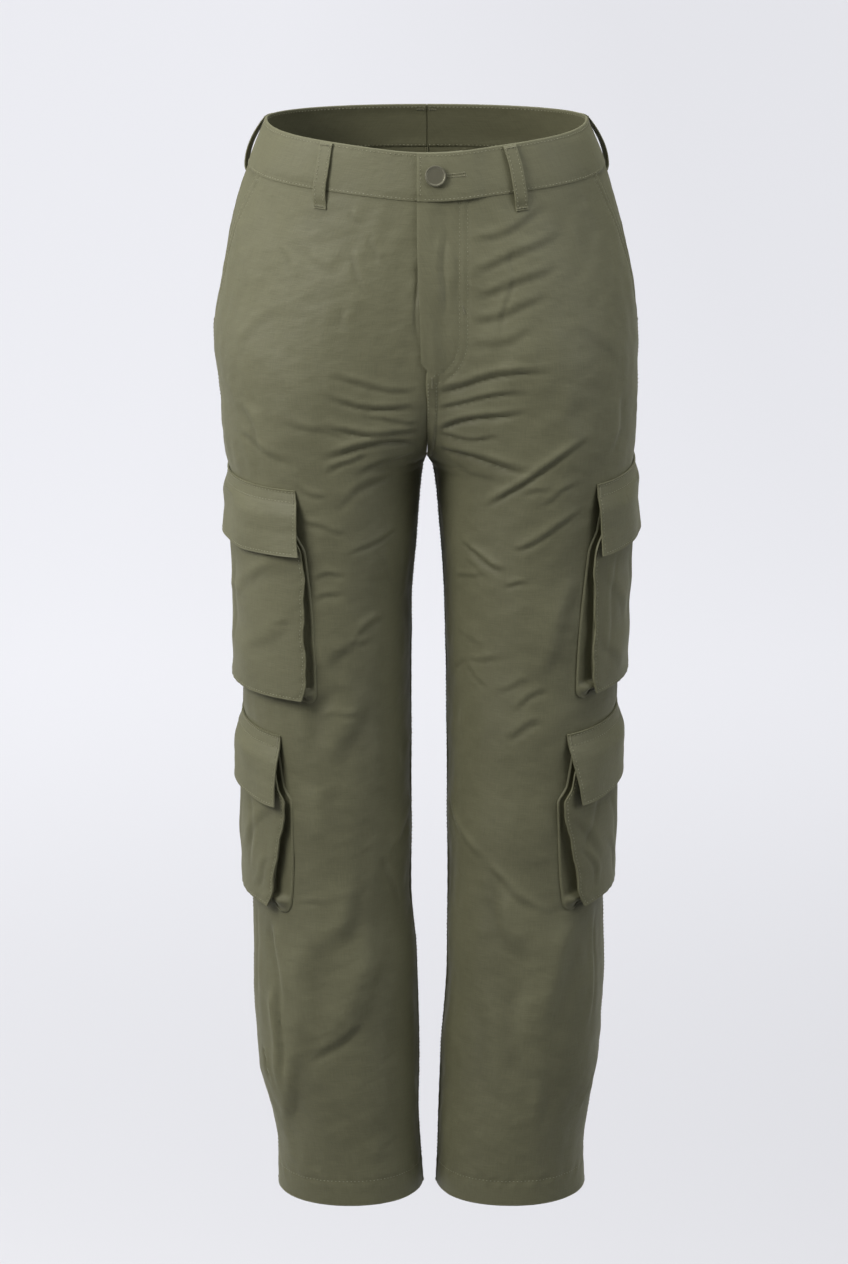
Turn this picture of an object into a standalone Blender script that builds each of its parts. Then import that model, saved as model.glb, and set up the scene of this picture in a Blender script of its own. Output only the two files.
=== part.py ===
"""Cargo trousers in woven cotton, cut and sewn from flat pieces and filled out, hollow inside.

Metres, +Z up, the front faces -Y and the wearer's left is +X. The origin is the middle of the
waist opening, level with the waistband's top edge at the sides.

Each leg is one closed loop of cloth, and both share the loop at the hips. A place on the cloth is
given by its side, its height z and its arc: the distance along the cloth from the side seam,
forwards as a positive number and backwards as a negative one.
"""
import math
from collections import namedtuple

import bmesh
import bpy
import numpy as np

# Cloth and seams
WALL = 0.0012                # one layer of cloth with its turned edge
SEAM_GAP = 0.0003            # between pieces that are sewn together
REST_GAP = 0.0006            # between a flat-faced piece and the curved cloth that it lies on
LEFT, RIGHT = 1, -1

# Lengths down the garment
BAND_HEIGHT = 0.040
CROTCH_Z = -0.2955
HEM_Z = -0.973
HEM_DEPTH = 0.024
FRONT_CURVE_Z = -0.205       # where the centre front seam starts to turn under
CROTCH_SPREAD = 1.2          # how fast the legs run together above the crotch
CROTCH_WIDENING = 12.0
BACK_SPREAD = 0.8

# The waist opening dips towards the front
WAIST_DIP = 0.013
BUTTON_DIP = 0.006
BUTTON_DIP_REACH = 0.060
DIP_FADE = 0.16

# Sections of the cloth, top to bottom: half widths to the side seam and to the inseam on each
# side, and the depth in front of the side seam and behind it.
Section = namedtuple("Section", "z outer_right outer_left inner_right inner_left front back")
SECTIONS = [
    Section(0.000, 0.1400, 0.1390, 0.0002, 0.0002, 0.098, 0.100),
    Section(-0.040, 0.1555, 0.1550, 0.0002, 0.0002, 0.107, 0.113),
    Section(-0.100, 0.1730, 0.1720, 0.0002, 0.0002, 0.114, 0.130),
    Section(-0.150, 0.1815, 0.1815, 0.0002, 0.0002, 0.117, 0.137),
    Section(-0.200, 0.1865, 0.1858, 0.0002, 0.0002, 0.118, 0.138),
    Section(-0.250, 0.1815, 0.1845, 0.0002, 0.0002, 0.116, 0.132),
    Section(-0.2955, 0.1765, 0.1825, 0.0003, 0.0003, 0.112, 0.120),
    Section(-0.305, 0.1745, 0.1815, 0.0040, 0.0055, 0.111, 0.117),
    Section(-0.370, 0.1655, 0.1735, 0.0098, 0.0125, 0.106, 0.108),
    Section(-0.430, 0.1625, 0.1700, 0.0142, 0.0160, 0.102, 0.102),
    Section(-0.515, 0.1635, 0.1685, 0.0143, 0.0178, 0.097, 0.095),
    Section(-0.600, 0.1575, 0.1610, 0.0143, 0.0185, 0.093, 0.091),
    Section(-0.690, 0.1560, 0.1590, 0.0145, 0.0190, 0.088, 0.088),
    Section(-0.760, 0.1570, 0.1605, 0.0095, 0.0185, 0.085, 0.086),
    Section(-0.850, 0.1535, 0.1560, 0.0073, 0.0130, 0.080, 0.082),
    Section(-0.900, 0.1420, 0.1475, 0.0080, 0.0110, 0.077, 0.079),
    Section(-0.940, 0.1365, 0.1425, 0.0060, 0.0100, 0.075, 0.076),
    Section(-0.973, 0.1355, 0.1440, 0.0035, 0.0085, 0.074, 0.075),
]
SQUARENESS = 2.15            # 2 is an ellipse, and more is squarer at the corners

# The largest folds: ends on the cloth as x and z, reach to each side, depth and half of the leg
Fold = namedtuple("Fold", "half x0 z0 x1 z1 reach depth")
FOLDS = [
    Fold("front", -0.024, -0.238, -0.096, -0.226, 0.013, -0.0022),
    Fold("front", -0.022, -0.264, -0.100, -0.284, 0.014, -0.0036),
    Fold("front", 0.024, -0.236, 0.112, -0.212, 0.013, -0.0026),
    Fold("front", 0.022, -0.262, 0.092, -0.246, 0.013, -0.0030),
    Fold("front", 0.022, -0.286, 0.098, -0.302, 0.014, -0.0034),
    Fold("front", 0.058, -0.332, 0.150, -0.268, 0.014, -0.0040),
    Fold("front", 0.070, -0.395, 0.142, -0.384, 0.013, -0.0028),
    Fold("front", 0.040, -0.690, 0.108, -0.714, 0.020, -0.0030),
    Fold("front", -0.138, -0.760, -0.126, -0.830, 0.018, -0.0030),
    Fold("front", -0.130, -0.880, -0.124, -0.940, 0.014, -0.0030),
    Fold("back", -0.024, -0.266, -0.104, -0.240, 0.015, -0.0036),
    Fold("back", 0.024, -0.268, 0.110, -0.236, 0.015, -0.0036),
    Fold("back", -0.040, -0.560, -0.128, -0.585, 0.018, -0.0034),
    Fold("back", 0.044, -0.585, 0.132, -0.560, 0.018, -0.0034),
]

# Slanted hip pockets: the front panel is cut away from the waist seam down to the side seam
POCKET_MOUTH = 0.038
POCKET_MOUTH_Z = -0.178

# Fly: the wearer's left front laps over the right one, down to the seam
FLY_LAP = 0.0085
FLY_END_Z = -0.212
FLY_RISE = 2 * WALL
FLY_RAMP = 0.018
FLY_FADE = 0.025

# Waistband, two layers of cloth, with the left end over the right one
BAND_PROUD = 0.0008
BAND_WALL = 0.0024
BAND_UNDERLAP = 0.030
BAND_LAP_RISE = BAND_WALL + SEAM_GAP
BAND_LAP_SPARE = 0.003       # the lapped end stays clear this far past the end under it
BAND_RAMP = 0.022

# Button, with its turned profile as radius and height above its seat
BUTTON_X, BUTTON_Z = 0.0070, -0.019
BUTTON_PROFILE = [(0.0, 0.0), (0.0076, 0.0), (0.0090, 0.0012), (0.0090, 0.0026), (0.0082, 0.0032),
                  (0.0072, 0.0032), (0.0066, 0.0026), (0.0, 0.0026)]
BUTTON_SEGMENTS = 24

# Belt loops: arc from the side seam at the top and at the bottom end
LOOP_WIDTH = 0.0115
LOOP_LENGTH = 0.054
LOOP_WALL = 0.0016
LOOP_ARCH = 0.0032
Loop = namedtuple("Loop", "name side arc_top arc_bottom")
LOOPS = [
    Loop("belt_loop_front_right", RIGHT, 0.105, 0.124),
    Loop("belt_loop_front_left", LEFT, 0.120, 0.135),
    Loop("belt_loop_side_right", RIGHT, -0.030, -0.030),
    Loop("belt_loop_side_left", LEFT, -0.030, -0.030),
]

# Cargo pockets: top of the flap at the side seam, edges as arcs, total and flap height, and how
# far the pocket drops towards the front for each metre of arc
Pocket = namedtuple("Pocket", "name side top front back height flap drop")
POCKETS = [
    Pocket("upper_pocket_right", RIGHT, -0.3065, 0.120, -0.072, 0.187, 0.056, 0.03),
    Pocket("upper_pocket_left", LEFT, -0.3000, 0.091, -0.101, 0.187, 0.060, 0.08),
    Pocket("lower_pocket_right", RIGHT, -0.5270, 0.084, -0.080, 0.158, 0.060, 0.08),
    Pocket("lower_pocket_left", LEFT, -0.5210, 0.094, -0.070, 0.160, 0.062, 0.10),
]
POUCH_BELOW_FLAP = 0.014
POUCH_DEPTH_TOP = 0.0045
POUCH_DEPTH_BOTTOM = 0.0095
GUSSET_INSET = 0.0025
POCKET_REST = 0.0009         # between a pocket's edges and the leg
FLAP_WALL = 0.0020
FLAP_STEP = 0.0112           # how far below the top edge the flap has stepped out over the pouch
FLAP_OVERHANG = 0.002
FLAP_FLARE = 0.007
FLAP_TAPER = 0.005

# Grids
SPLIT = 0.5                  # where a half section is divided, as a share of its outer width
OUTER_CELLS, INNER_CELLS = 5, 4
POCKET_CELLS, POCKET_ROWS, FLAP_ROWS = 10, 5, 4
LINE_STEPS = 40
TABLE_STEP = 0.004

CLOTH_HEX, CLOTH_DARK_HEX, METAL_HEX = "5f5f49", "55553f", "5d5b4e"


def column(name, z):
    """One column of SECTIONS at height z, on a smooth curve that never overshoots its rows."""
    heights = np.array([row.z for row in SECTIONS])[::-1]
    values = np.array([getattr(row, name) for row in SECTIONS])[::-1]
    secants = np.diff(values) / np.diff(heights)
    product = secants[1:] * secants[:-1]
    total = np.where(product > 0, secants[1:] + secants[:-1], 1.0)
    inside = np.where(product > 0, 2 * product / total, 0.0)
    slopes = np.concatenate([secants[:1], inside, secants[-1:]])
    z = np.clip(z, heights[0], heights[-1])
    low = np.clip(np.searchsorted(heights, z) - 1, 0, len(heights) - 2)
    span = heights[low + 1] - heights[low]
    t = (z - heights[low]) / span
    return ((2 * t**3 - 3 * t**2 + 1) * values[low] + (t**3 - 2 * t**2 + t) * span * slopes[low]
            + (3 * t**2 - 2 * t**3) * values[low + 1] + (t**3 - t**2) * span * slopes[low + 1])


def smooth(t):
    """0 to 1 with level ends."""
    t = np.clip(t, 0.0, 1.0)
    return t * t * (3 - 2 * t)


def quarter(inner, outer, depth, spread, z):
    """A quarter of the section, from the centre seam or inseam out to the side seam: x and depth.

    Both parts are quarters of a squared ellipse with their highest point at the crest. Above the
    crotch the leg's inner quarter would pass the middle, and the centre seam cuts it there.
    """
    rise = max(z - CROTCH_Z, 0.0)
    tip = inner - spread * (CROTCH_SPREAD * rise + CROTCH_WIDENING * rise**2)
    crest = 0.5 * (inner + outer) * (0.05 + 0.95 * smooth((-z - 0.03) / 0.25))
    cut = ((crest - inner) / (crest - tip)) ** (SQUARENESS / 2)
    near = np.linspace(math.acos(min(cut, 1.0)), math.pi / 2, LINE_STEPS + 1)
    far = np.linspace(math.pi / 2, 0, LINE_STEPS + 1)[1:]
    power = 2 / SQUARENESS
    near_x = crest - (crest - tip) * np.maximum(np.cos(near), 0.0) ** power
    far_x = crest + (outer - crest) * np.maximum(np.cos(far), 0.0) ** power
    angles = np.concatenate([near, far])
    return np.concatenate([near_x, far_x]), depth * np.maximum(np.sin(angles), 0.0) ** power


def build_tables(side):
    """Cloth points of one side, by height and by steps of arc.

    Each row runs from the side seam to the place halfway to the middle, in LINE_STEPS steps, and
    on to the centre seam or inseam in as many again. The first run's length changes slowly down
    the garment, so its columns stay upright where the crotch makes the second run suddenly longer.
    """
    name = "left" if side == LEFT else "right"
    heights = np.arange(HEM_Z, TABLE_STEP / 2, TABLE_STEP)
    crotch_rows = CROTCH_Z + TABLE_STEP * np.linspace(0, 6, 37) ** 1.5 / 6
    heights = np.unique(np.concatenate([heights, crotch_rows, [CROTCH_Z - 0.001, 0.0]]))
    table = {"z": heights}
    even = np.linspace(0, 1, LINE_STEPS + 1)
    for half, spread, sign in (("front", 1.0, -1), ("back", BACK_SPREAD, 1)):
        points, splits, lengths = [], [], []
        for z in heights:
            inner, outer = column("inner_" + name, z), column("outer_" + name, z)
            x, y = quarter(inner, outer, column(half, z), spread, z)
            x, y = x[::-1], y[::-1]
            arc = np.concatenate([[0], np.cumsum(np.hypot(np.diff(x), np.diff(y)))])
            split = np.interp(-SPLIT * outer, -x, arc)
            places = np.concatenate([even * split, split + even[1:] * (arc[-1] - split)])
            points.append((np.interp(places, arc, x), sign * np.interp(places, arc, y)))
            splits.append(split)
            lengths.append(arc[-1])
        table[half] = np.array(points)
        table[half + "_split"] = np.array(splits)
        table[half + "_length"] = np.array(lengths)
    return table


TABLES = {side: build_tables(side) for side in (LEFT, RIGHT)}


def arc_length(side, half, z, part="_length"):
    """Length of cloth from the side seam to the centre seam or inseam, or to the split."""
    table = TABLES[side]
    return np.interp(z, table["z"], table[half + part])


def base_point(side, arc, z):
    """The cloth's outer face without folds, at an arc and height: an array of x, y, z."""
    table = TABLES[side]
    arc, z = np.broadcast_arrays(np.asarray(arc, float), np.asarray(z, float))
    row = np.clip(np.interp(z, table["z"], np.arange(len(table["z"]))), 0, len(table["z"]) - 1.001)
    low = row.astype(int)
    rise = row - low
    in_front = arc >= 0
    length, split = (np.where(in_front, arc_length(side, "front", z, part),
                              arc_length(side, "back", z, part)) for part in ("_length", "_split"))
    run = np.abs(arc)
    past = (run > length * 1.00001) & (z > FRONT_CURVE_Z)
    run = np.where(past, 2 * length - run, run)
    place = np.where(run < split, run / split, 1 + (run - split) / (length - split)) * LINE_STEPS
    place = np.clip(place, 0, 2 * LINE_STEPS - 0.001)
    left = place.astype(int)
    across = place - left
    point = []
    for axis in (0, 1):
        value = 0
        for half, chosen in (("front", in_front), ("back", ~in_front)):
            grid = table[half][:, axis]
            lower = grid[low, left] * (1 - across) + grid[low, left + 1] * across
            upper = grid[low + 1, left] * (1 - across) + grid[low + 1, left + 1] * across
            value = value + np.where(chosen, lower * (1 - rise) + upper * rise, 0)
        point.append(value)
    x, y = point
    x = side * np.where(past, -x, x)
    fade = smooth(1 - (-z - BAND_HEIGHT) / DIP_FADE)
    front = SECTIONS[0].front
    peak = BUTTON_DIP * np.exp(-(x / BUTTON_DIP_REACH) ** 2)
    dip = np.where(y < 0, WAIST_DIP * -y / front + peak * smooth(-y / front), 0)
    return np.stack([x, y, z - dip * fade], axis=-1)


def arc_at(side, half, x, z):
    """The arc where the cloth's outer face has this x, on the front or the back."""
    length = float(arc_length(side, half, z))
    sign = 1 if half == "front" else -1
    arcs = np.linspace(0.0, length, 120) * sign
    across = np.abs(base_point(side, arcs, np.full(120, z))[:, 0])
    return float(np.interp(-abs(x), -across, arcs))


def fold_height(side, arc, z):
    """How far the folds move the cloth out (or in, below zero)."""
    total = np.zeros(np.broadcast(arc, z).shape)
    for fold in FOLDS:
        if fold.x0 * side < 0:
            continue
        a0 = arc_at(side, fold.half, fold.x0, fold.z0)
        a1 = arc_at(side, fold.half, fold.x1, fold.z1)
        da, dz = a1 - a0, fold.z1 - fold.z0
        along = np.clip(((arc - a0) * da + (z - fold.z0) * dz) / (da**2 + dz**2), 0, 1)
        away = np.hypot(arc - a0 - along * da, z - fold.z0 - along * dz) / fold.reach
        total += fold.depth * np.exp(-away**2) * smooth(4 * along + 0.3) * smooth(4.3 - 4 * along)
    return total


def cloth(side, arc, z, out=0.0, folds=False):
    """Points a distance out from the cloth's outer face, along its normal."""
    arc, z = np.broadcast_arrays(np.asarray(arc, float), np.asarray(z, float))
    step = 0.0015
    front_end, back_end = arc_length(side, "front", z), arc_length(side, "back", z)
    beyond = np.where(z > FRONT_CURVE_Z, BAND_UNDERLAP + 2 * step, 0.0)
    after = np.minimum(arc + step, front_end + beyond)
    before = np.maximum(arc - step, -back_end - beyond)
    forward = base_point(side, after, z) - base_point(side, before, z)
    ends = []
    for height in (z + step, z - step):
        kept = np.clip(arc, -arc_length(side, "back", height) - beyond,
                       arc_length(side, "front", height) + beyond)
        ends.append(base_point(side, kept, height))
    upward = ends[0] - ends[1]
    normal = np.cross(upward, forward) * side
    normal[..., 2] *= smooth((-BAND_HEIGHT - z - 0.005) / 0.05)
    normal /= np.linalg.norm(normal, axis=-1, keepdims=True)
    out = np.broadcast_to(np.asarray(out, float), arc.shape)
    if folds:
        out = out + fold_height(side, arc, z)
    return base_point(side, arc, z) + normal * out[..., None]


def material(name, hex_colour, roughness, metallic=0.0):
    """A Principled BSDF for one sub-part."""
    def linear(text):
        value = int(text, 16) / 255
        return value / 12.92 if value <= 0.04045 else ((value + 0.055) / 1.055) ** 2.4

    finish = bpy.data.materials.new(name)
    finish.use_nodes = True
    shader = finish.node_tree.nodes["Principled BSDF"]
    shader.inputs["Base Color"].default_value = (
        linear(hex_colour[0:2]), linear(hex_colour[2:4]), linear(hex_colour[4:6]), 1.0)
    shader.inputs["Roughness"].default_value = roughness
    shader.inputs["Metallic"].default_value = metallic
    return finish


def add_object(name, mesh_data, hex_colour=CLOTH_HEX, roughness=0.8, metallic=0.0):
    """Put a closed bmesh in the scene as a named object with its own material."""
    bmesh.ops.remove_doubles(mesh_data, verts=mesh_data.verts, dist=1e-6)
    bmesh.ops.recalc_face_normals(mesh_data, faces=mesh_data.faces)
    mesh = bpy.data.meshes.new(name)
    mesh_data.to_mesh(mesh)
    mesh_data.free()
    mesh.materials.append(material(name, hex_colour, roughness, metallic))
    piece = bpy.data.objects.new(name, mesh)
    bpy.context.collection.objects.link(piece)
    return piece


def sheet(name, outer, inner, wrap=False, hex_colour=CLOTH_HEX):
    """A closed wall of cloth between two grids of points; wrap joins the last column to the first."""
    rows, columns = outer.shape[:2]
    wall = bmesh.new()
    sides = [[[wall.verts.new(p) for p in row] for row in grid] for grid in (outer, inner)]
    steps = columns if wrap else columns - 1
    for r in range(rows - 1):
        for c in range(steps):
            d = (c + 1) % columns
            for grid in sides:
                wall.faces.new((grid[r][c], grid[r][d], grid[r + 1][d], grid[r + 1][c]))
    near, far = sides
    for c in range(steps):
        d = (c + 1) % columns
        for r in (0, rows - 1):
            wall.faces.new((near[r][c], near[r][d], far[r][d], far[r][c]))
    if not wrap:
        for r in range(rows - 1):
            for c in (0, columns - 1):
                wall.faces.new((near[r][c], near[r + 1][c], far[r + 1][c], far[r][c]))
    return add_object(name, wall, hex_colour)


def panel_rows():
    """Heights of the panels' rows, closer together where the crotch curves and the folds lie."""
    top = -BAND_HEIGHT - SEAM_GAP
    turn = CROTCH_Z - FRONT_CURVE_Z
    curve = [FRONT_CURVE_Z + turn * math.sin(math.pi / 2 * k / 7) for k in range(1, 8)]
    hip = np.linspace(top, FRONT_CURVE_Z, 7)
    thigh = np.linspace(CROTCH_Z, -0.42, 8)[1:]
    shin = np.linspace(-0.42, HEM_Z + HEM_DEPTH, 13)[1:]
    return np.concatenate([hip, curve, thigh, shin, [HEM_Z]])


def panel_arcs(side, half, rows, start=0.0, lap=0.0):
    """Columns of a panel, row by row: arcs from its side edge to its inner edge."""
    rows = np.asarray(rows, float).reshape(-1, 1)
    split = arc_length(side, half, rows, "_split")
    end = arc_length(side, half, rows) + lap
    outer = start + (split - start) * np.linspace(0, 1, OUTER_CELLS + 1)
    inner = split + (end - split) * np.linspace(0, 1, INNER_CELLS + 1)[1:]
    return np.concatenate([outer, inner], axis=1)


def mouth_arc(z):
    """How far in front of the side seam the hip pocket's mouth is at height z."""
    share = np.clip((z - POCKET_MOUTH_Z) / (-BAND_HEIGHT - POCKET_MOUTH_Z), 0, 1)
    return POCKET_MOUTH * share


def fly_lap(z):
    """How far the left front passes the centre at height z."""
    return FLY_LAP * smooth((z - FLY_END_Z) / 0.030)


def build_panels():
    """The two fronts and the two backs, from the waist seam to the hem fold."""
    rows = panel_rows()[:, None]
    trim = SEAM_GAP / 2
    for side, name in ((RIGHT, "right"), (LEFT, "left")):
        front_end = arc_length(side, "front", rows)
        lap = fly_lap(rows) if side == LEFT else 0 * rows
        arcs = panel_arcs(side, "front", rows, mouth_arc(rows) + trim, lap - trim)
        rise = 0
        if side == LEFT:
            near_centre = 1 - (front_end - arcs) / FLY_RAMP
            rise = FLY_RISE * smooth((rows - FLY_END_Z) / FLY_FADE + 1) * smooth(near_centre)
        sheet("front_" + name, cloth(side, arcs, rows, rise, folds=True),
              cloth(side, arcs, rows, rise - WALL, folds=True))
        arcs = -panel_arcs(side, "back", rows, trim, -trim)
        sheet("back_" + name, cloth(side, arcs, rows, 0, folds=True),
              cloth(side, arcs, rows, -WALL, folds=True))


def build_hip_facings():
    """The cloth that shows in each hip pocket's mouth, between the front and the side seam."""
    rows = panel_rows()
    rows = rows[rows > POCKET_MOUTH_Z + 0.012][:, None]
    share = np.linspace(0, 1, 4)[None, :]
    for side, name in ((RIGHT, "right"), (LEFT, "left")):
        arcs = SEAM_GAP / 2 + (mouth_arc(rows) - SEAM_GAP) * share
        sheet("hip_pocket_facing_" + name, cloth(side, arcs, rows), cloth(side, arcs, rows, -WALL),
              hex_colour=CLOTH_DARK_HEX)


def band_arcs(side, heights):
    """Columns of a waistband half that match the panels below it, for each height."""
    low = -BAND_HEIGHT
    front, back = arc_length(side, "front", low), arc_length(side, "back", low)
    mouth = mouth_arc(low)
    lap = FLY_LAP if side == LEFT else 0
    columns = [*-panel_arcs(side, "back", [low], 0, -SEAM_GAP / 2)[0][:0:-1],
               *(mouth * np.linspace(0, 1, 4)), *panel_arcs(side, "front", [low], mouth, lap)[0][1:]]
    if side == LEFT:
        lapped = front - BAND_UNDERLAP - BAND_LAP_SPARE
        columns += [front, lapped, lapped - BAND_RAMP / 2, lapped - BAND_RAMP]
    else:
        columns += [front + BAND_UNDERLAP / 2, front + BAND_UNDERLAP]
    columns = np.sort(columns)
    rows = []
    for z in heights:
        front_here, back_here = arc_length(side, "front", z), arc_length(side, "back", z)
        row = np.where(columns >= 0, columns * front_here / front, columns * back_here / back)
        rows.append(np.where(columns > front, columns - front + front_here, row))
    return np.array(rows)


def build_waistband():
    """Two halves that meet at the centre back; the left one laps over the right at the front."""
    heights = np.array([-BAND_HEIGHT, 0.0])
    for side, name in ((RIGHT, "right"), (LEFT, "left")):
        arcs = band_arcs(side, heights)
        rise = 0
        if side == LEFT:
            lapped = arc_length(side, "front", heights)[:, None] - BAND_UNDERLAP - BAND_LAP_SPARE
            rise = BAND_LAP_RISE * smooth(1 - (lapped - arcs) / BAND_RAMP)
        sheet("waistband_" + name, cloth(side, arcs, heights[:, None], rise + BAND_PROUD),
              cloth(side, arcs, heights[:, None], rise + BAND_PROUD - BAND_WALL))


def build_loop(name, side, arc_top, arc_bottom):
    """A strip sewn at the band's top edge and below the waist seam, free in between."""
    down = np.linspace(0, 1, 9)[:, None]
    across = np.array([[-0.5, 0.5]]) * LOOP_WIDTH
    arcs = arc_top + (arc_bottom - arc_top) * down + across
    heights = -0.0008 - LOOP_LENGTH * down + 0 * across
    seat = BAND_PROUD + REST_GAP
    out = seat + LOOP_ARCH * np.sin(math.pi * np.clip(down / 0.92, 0, 1)) ** 0.6
    out = out - BAND_PROUD * smooth((down - 0.80) / 0.15)
    sheet(name, cloth(side, arcs, heights, out + LOOP_WALL), cloth(side, arcs, heights, out),
          hex_colour=CLOTH_DARK_HEX)


def build_loops():
    """Four loops on the arcs in LOOPS and one across the centre back seam."""
    for loop in LOOPS:
        build_loop(*loop)
    top, bottom = (-float(arc_length(LEFT, "back", z)) for z in (0.0, -LOOP_LENGTH))
    build_loop("belt_loop_centre_back", LEFT, top, bottom)


def build_button():
    """A turned metal button, set square on the lapped end of the band."""
    arc = float(arc_length(LEFT, "front", BUTTON_Z)) - BUTTON_X
    seat = BAND_PROUD + BAND_LAP_RISE + REST_GAP
    radius = BUTTON_PROFILE[1][0]
    foot = cloth(LEFT, arc, BUTTON_Z, seat)
    up = cloth(LEFT, arc, BUTTON_Z + radius, seat) - cloth(LEFT, arc, BUTTON_Z - radius, seat)
    across = cloth(LEFT, arc - radius, BUTTON_Z, seat) - cloth(LEFT, arc + radius, BUTTON_Z, seat)
    axis = np.cross(across, up)
    axis, across = axis / np.linalg.norm(axis), across / np.linalg.norm(across)
    up = np.cross(axis, across)
    turned = bmesh.new()
    rings = []
    for radius, height in BUTTON_PROFILE:
        count = BUTTON_SEGMENTS if radius > 0 else 1
        ring = []
        for k in range(count):
            angle = 2 * math.pi * k / BUTTON_SEGMENTS
            spoke = across * math.cos(angle) + up * math.sin(angle)
            ring.append(turned.verts.new(foot + axis * height + spoke * radius))
        rings.append(ring)
    for low, high in zip(rings, rings[1:]):
        for k in range(BUTTON_SEGMENTS):
            m = (k + 1) % BUTTON_SEGMENTS
            corners = [low[k % len(low)], low[m % len(low)], high[m % len(high)], high[k % len(high)]]
            turned.faces.new(list(dict.fromkeys(corners)))
    add_object("button", turned, METAL_HEX, roughness=0.45, metallic=0.85)


def pocket_place(pocket, arcs, below):
    """Heights for distances below the pocket's top edge, which drops towards the front."""
    return pocket.top - pocket.drop * arcs - below


def pouch_depth(pocket, below):
    """How far the pouch stands off the leg at a distance below the top edge."""
    return POUCH_DEPTH_TOP + (POUCH_DEPTH_BOTTOM - POUCH_DEPTH_TOP) * below / pocket.height


def build_pouch(pocket):
    """One layer of cloth that stands off the leg, further at the bottom than at the top."""
    arcs = np.linspace(pocket.back, pocket.front, POCKET_CELLS + 1)[None, :]
    below = np.linspace(POUCH_BELOW_FLAP, pocket.height, POCKET_ROWS + 1)[:, None]
    heights = pocket_place(pocket, arcs, below)
    out = pouch_depth(pocket, below) + 0 * arcs
    sheet(pocket.name + "_pouch", cloth(pocket.side, arcs, heights, out + WALL),
          cloth(pocket.side, arcs, heights, out))


def build_gusset(pocket):
    """The bellows strip between leg and pouch: down the front edge, along the foot and up again."""
    walls = []
    for inset in (GUSSET_INSET, GUSSET_INSET + WALL):
        front, back = pocket.front - inset, pocket.back + inset
        foot = pocket.height - inset
        down = np.linspace(POUCH_BELOW_FLAP, foot, POCKET_ROWS + 1)
        along = np.linspace(front, back, POCKET_CELLS + 1)[1:-1]
        arcs = np.concatenate([np.full(len(down), front), along, np.full(len(down), back)])
        below = np.concatenate([down, np.full(len(along), foot), down[::-1]])
        heights = pocket_place(pocket, arcs, below)
        low = cloth(pocket.side, arcs, heights, POCKET_REST)
        high = cloth(pocket.side, arcs, heights, pouch_depth(pocket, below) - POCKET_REST)
        walls.append(np.stack([low, high]))
    sheet(pocket.name + "_gusset", walls[0], walls[1], hex_colour=CLOTH_DARK_HEX)


def build_flap(pocket):
    """Two layers that are sewn to the leg along the top, step out over the pouch and flare."""
    down = np.linspace(0, 1, FLAP_ROWS + 1)[:, None]
    across = np.linspace(0, 1, POCKET_CELLS + 1)[None, :]
    taper = FLAP_TAPER * down - FLAP_OVERHANG
    arcs = (pocket.back + taper) * (1 - across) + (pocket.front - taper) * across
    below = pocket.flap * down
    heights = pocket_place(pocket, arcs, below)
    step_out = (pouch_depth(pocket, below) + WALL) * smooth(below / FLAP_STEP)
    out = POCKET_REST + step_out + FLAP_FLARE * down**2
    sheet(pocket.name + "_flap", cloth(pocket.side, arcs, heights, out + FLAP_WALL),
          cloth(pocket.side, arcs, heights, out))


def build_hems():
    """The turned-up layer inside each leg opening."""
    heights = np.array([[HEM_Z], [HEM_Z + HEM_DEPTH]])
    inward = -WALL - REST_GAP
    for side, name in ((RIGHT, "right"), (LEFT, "left")):
        front = panel_arcs(side, "front", heights)
        back = -panel_arcs(side, "back", heights)[:, ::-1]
        arcs = np.concatenate([front[:, 1:], back[:, 1:]], axis=1)
        sheet("hem_" + name, cloth(side, arcs, heights, inward, folds=True),
              cloth(side, arcs, heights, inward - WALL, folds=True), wrap=True)


for old in list(bpy.data.objects):
    bpy.data.objects.remove(old, do_unlink=True)

build_panels()
build_hip_facings()
build_waistband()
build_loops()
build_button()
for cargo in POCKETS:
    build_pouch(cargo)
    build_gusset(cargo)
    build_flap(cargo)
build_hems()
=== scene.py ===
import math
import random
from collections import namedtuple

import bmesh
import bpy
import numpy as np
from mathutils import Matrix, Vector


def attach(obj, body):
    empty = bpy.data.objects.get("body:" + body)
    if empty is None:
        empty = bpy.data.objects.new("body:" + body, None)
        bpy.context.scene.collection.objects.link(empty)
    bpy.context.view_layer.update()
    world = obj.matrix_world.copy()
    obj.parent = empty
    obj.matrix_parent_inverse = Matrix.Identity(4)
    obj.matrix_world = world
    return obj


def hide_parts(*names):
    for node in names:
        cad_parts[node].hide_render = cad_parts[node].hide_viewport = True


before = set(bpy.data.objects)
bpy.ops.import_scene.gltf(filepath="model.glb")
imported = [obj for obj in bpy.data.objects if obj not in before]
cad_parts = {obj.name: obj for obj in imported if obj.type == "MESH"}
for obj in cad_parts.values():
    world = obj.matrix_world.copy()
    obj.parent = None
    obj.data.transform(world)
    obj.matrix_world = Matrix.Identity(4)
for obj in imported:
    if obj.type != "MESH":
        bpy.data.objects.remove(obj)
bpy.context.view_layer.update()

# ---- The cut of the legs -----------------------------------------------------------------------
# Two fronts and two backs, cut flat from a light cotton and nylon twill and sewn into one tube for
# each leg and one for the hips. A place on the cloth is given by its side, its arc (the distance
# along the cloth from the side seam, forwards positive and backwards negative) and its height.
MM = 0.001
LEFT, RIGHT = 1, -1
BAND_HEIGHT = 0.040
CROTCH_Z, HEM_Z = -0.2955, -0.973
HEM_DEPTH = 0.024
FRONT_CURVE_Z = -0.205
CROTCH_SPREAD, CROTCH_WIDENING, BACK_SPREAD = 1.2, 12.0, 0.8
WAIST_DIP, BUTTON_DIP, BUTTON_DIP_REACH, DIP_FADE = 0.013, 0.006, 0.060, 0.16
SQUARENESS = 2.15
SPLIT = 0.5
LINE_STEPS = 64
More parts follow.
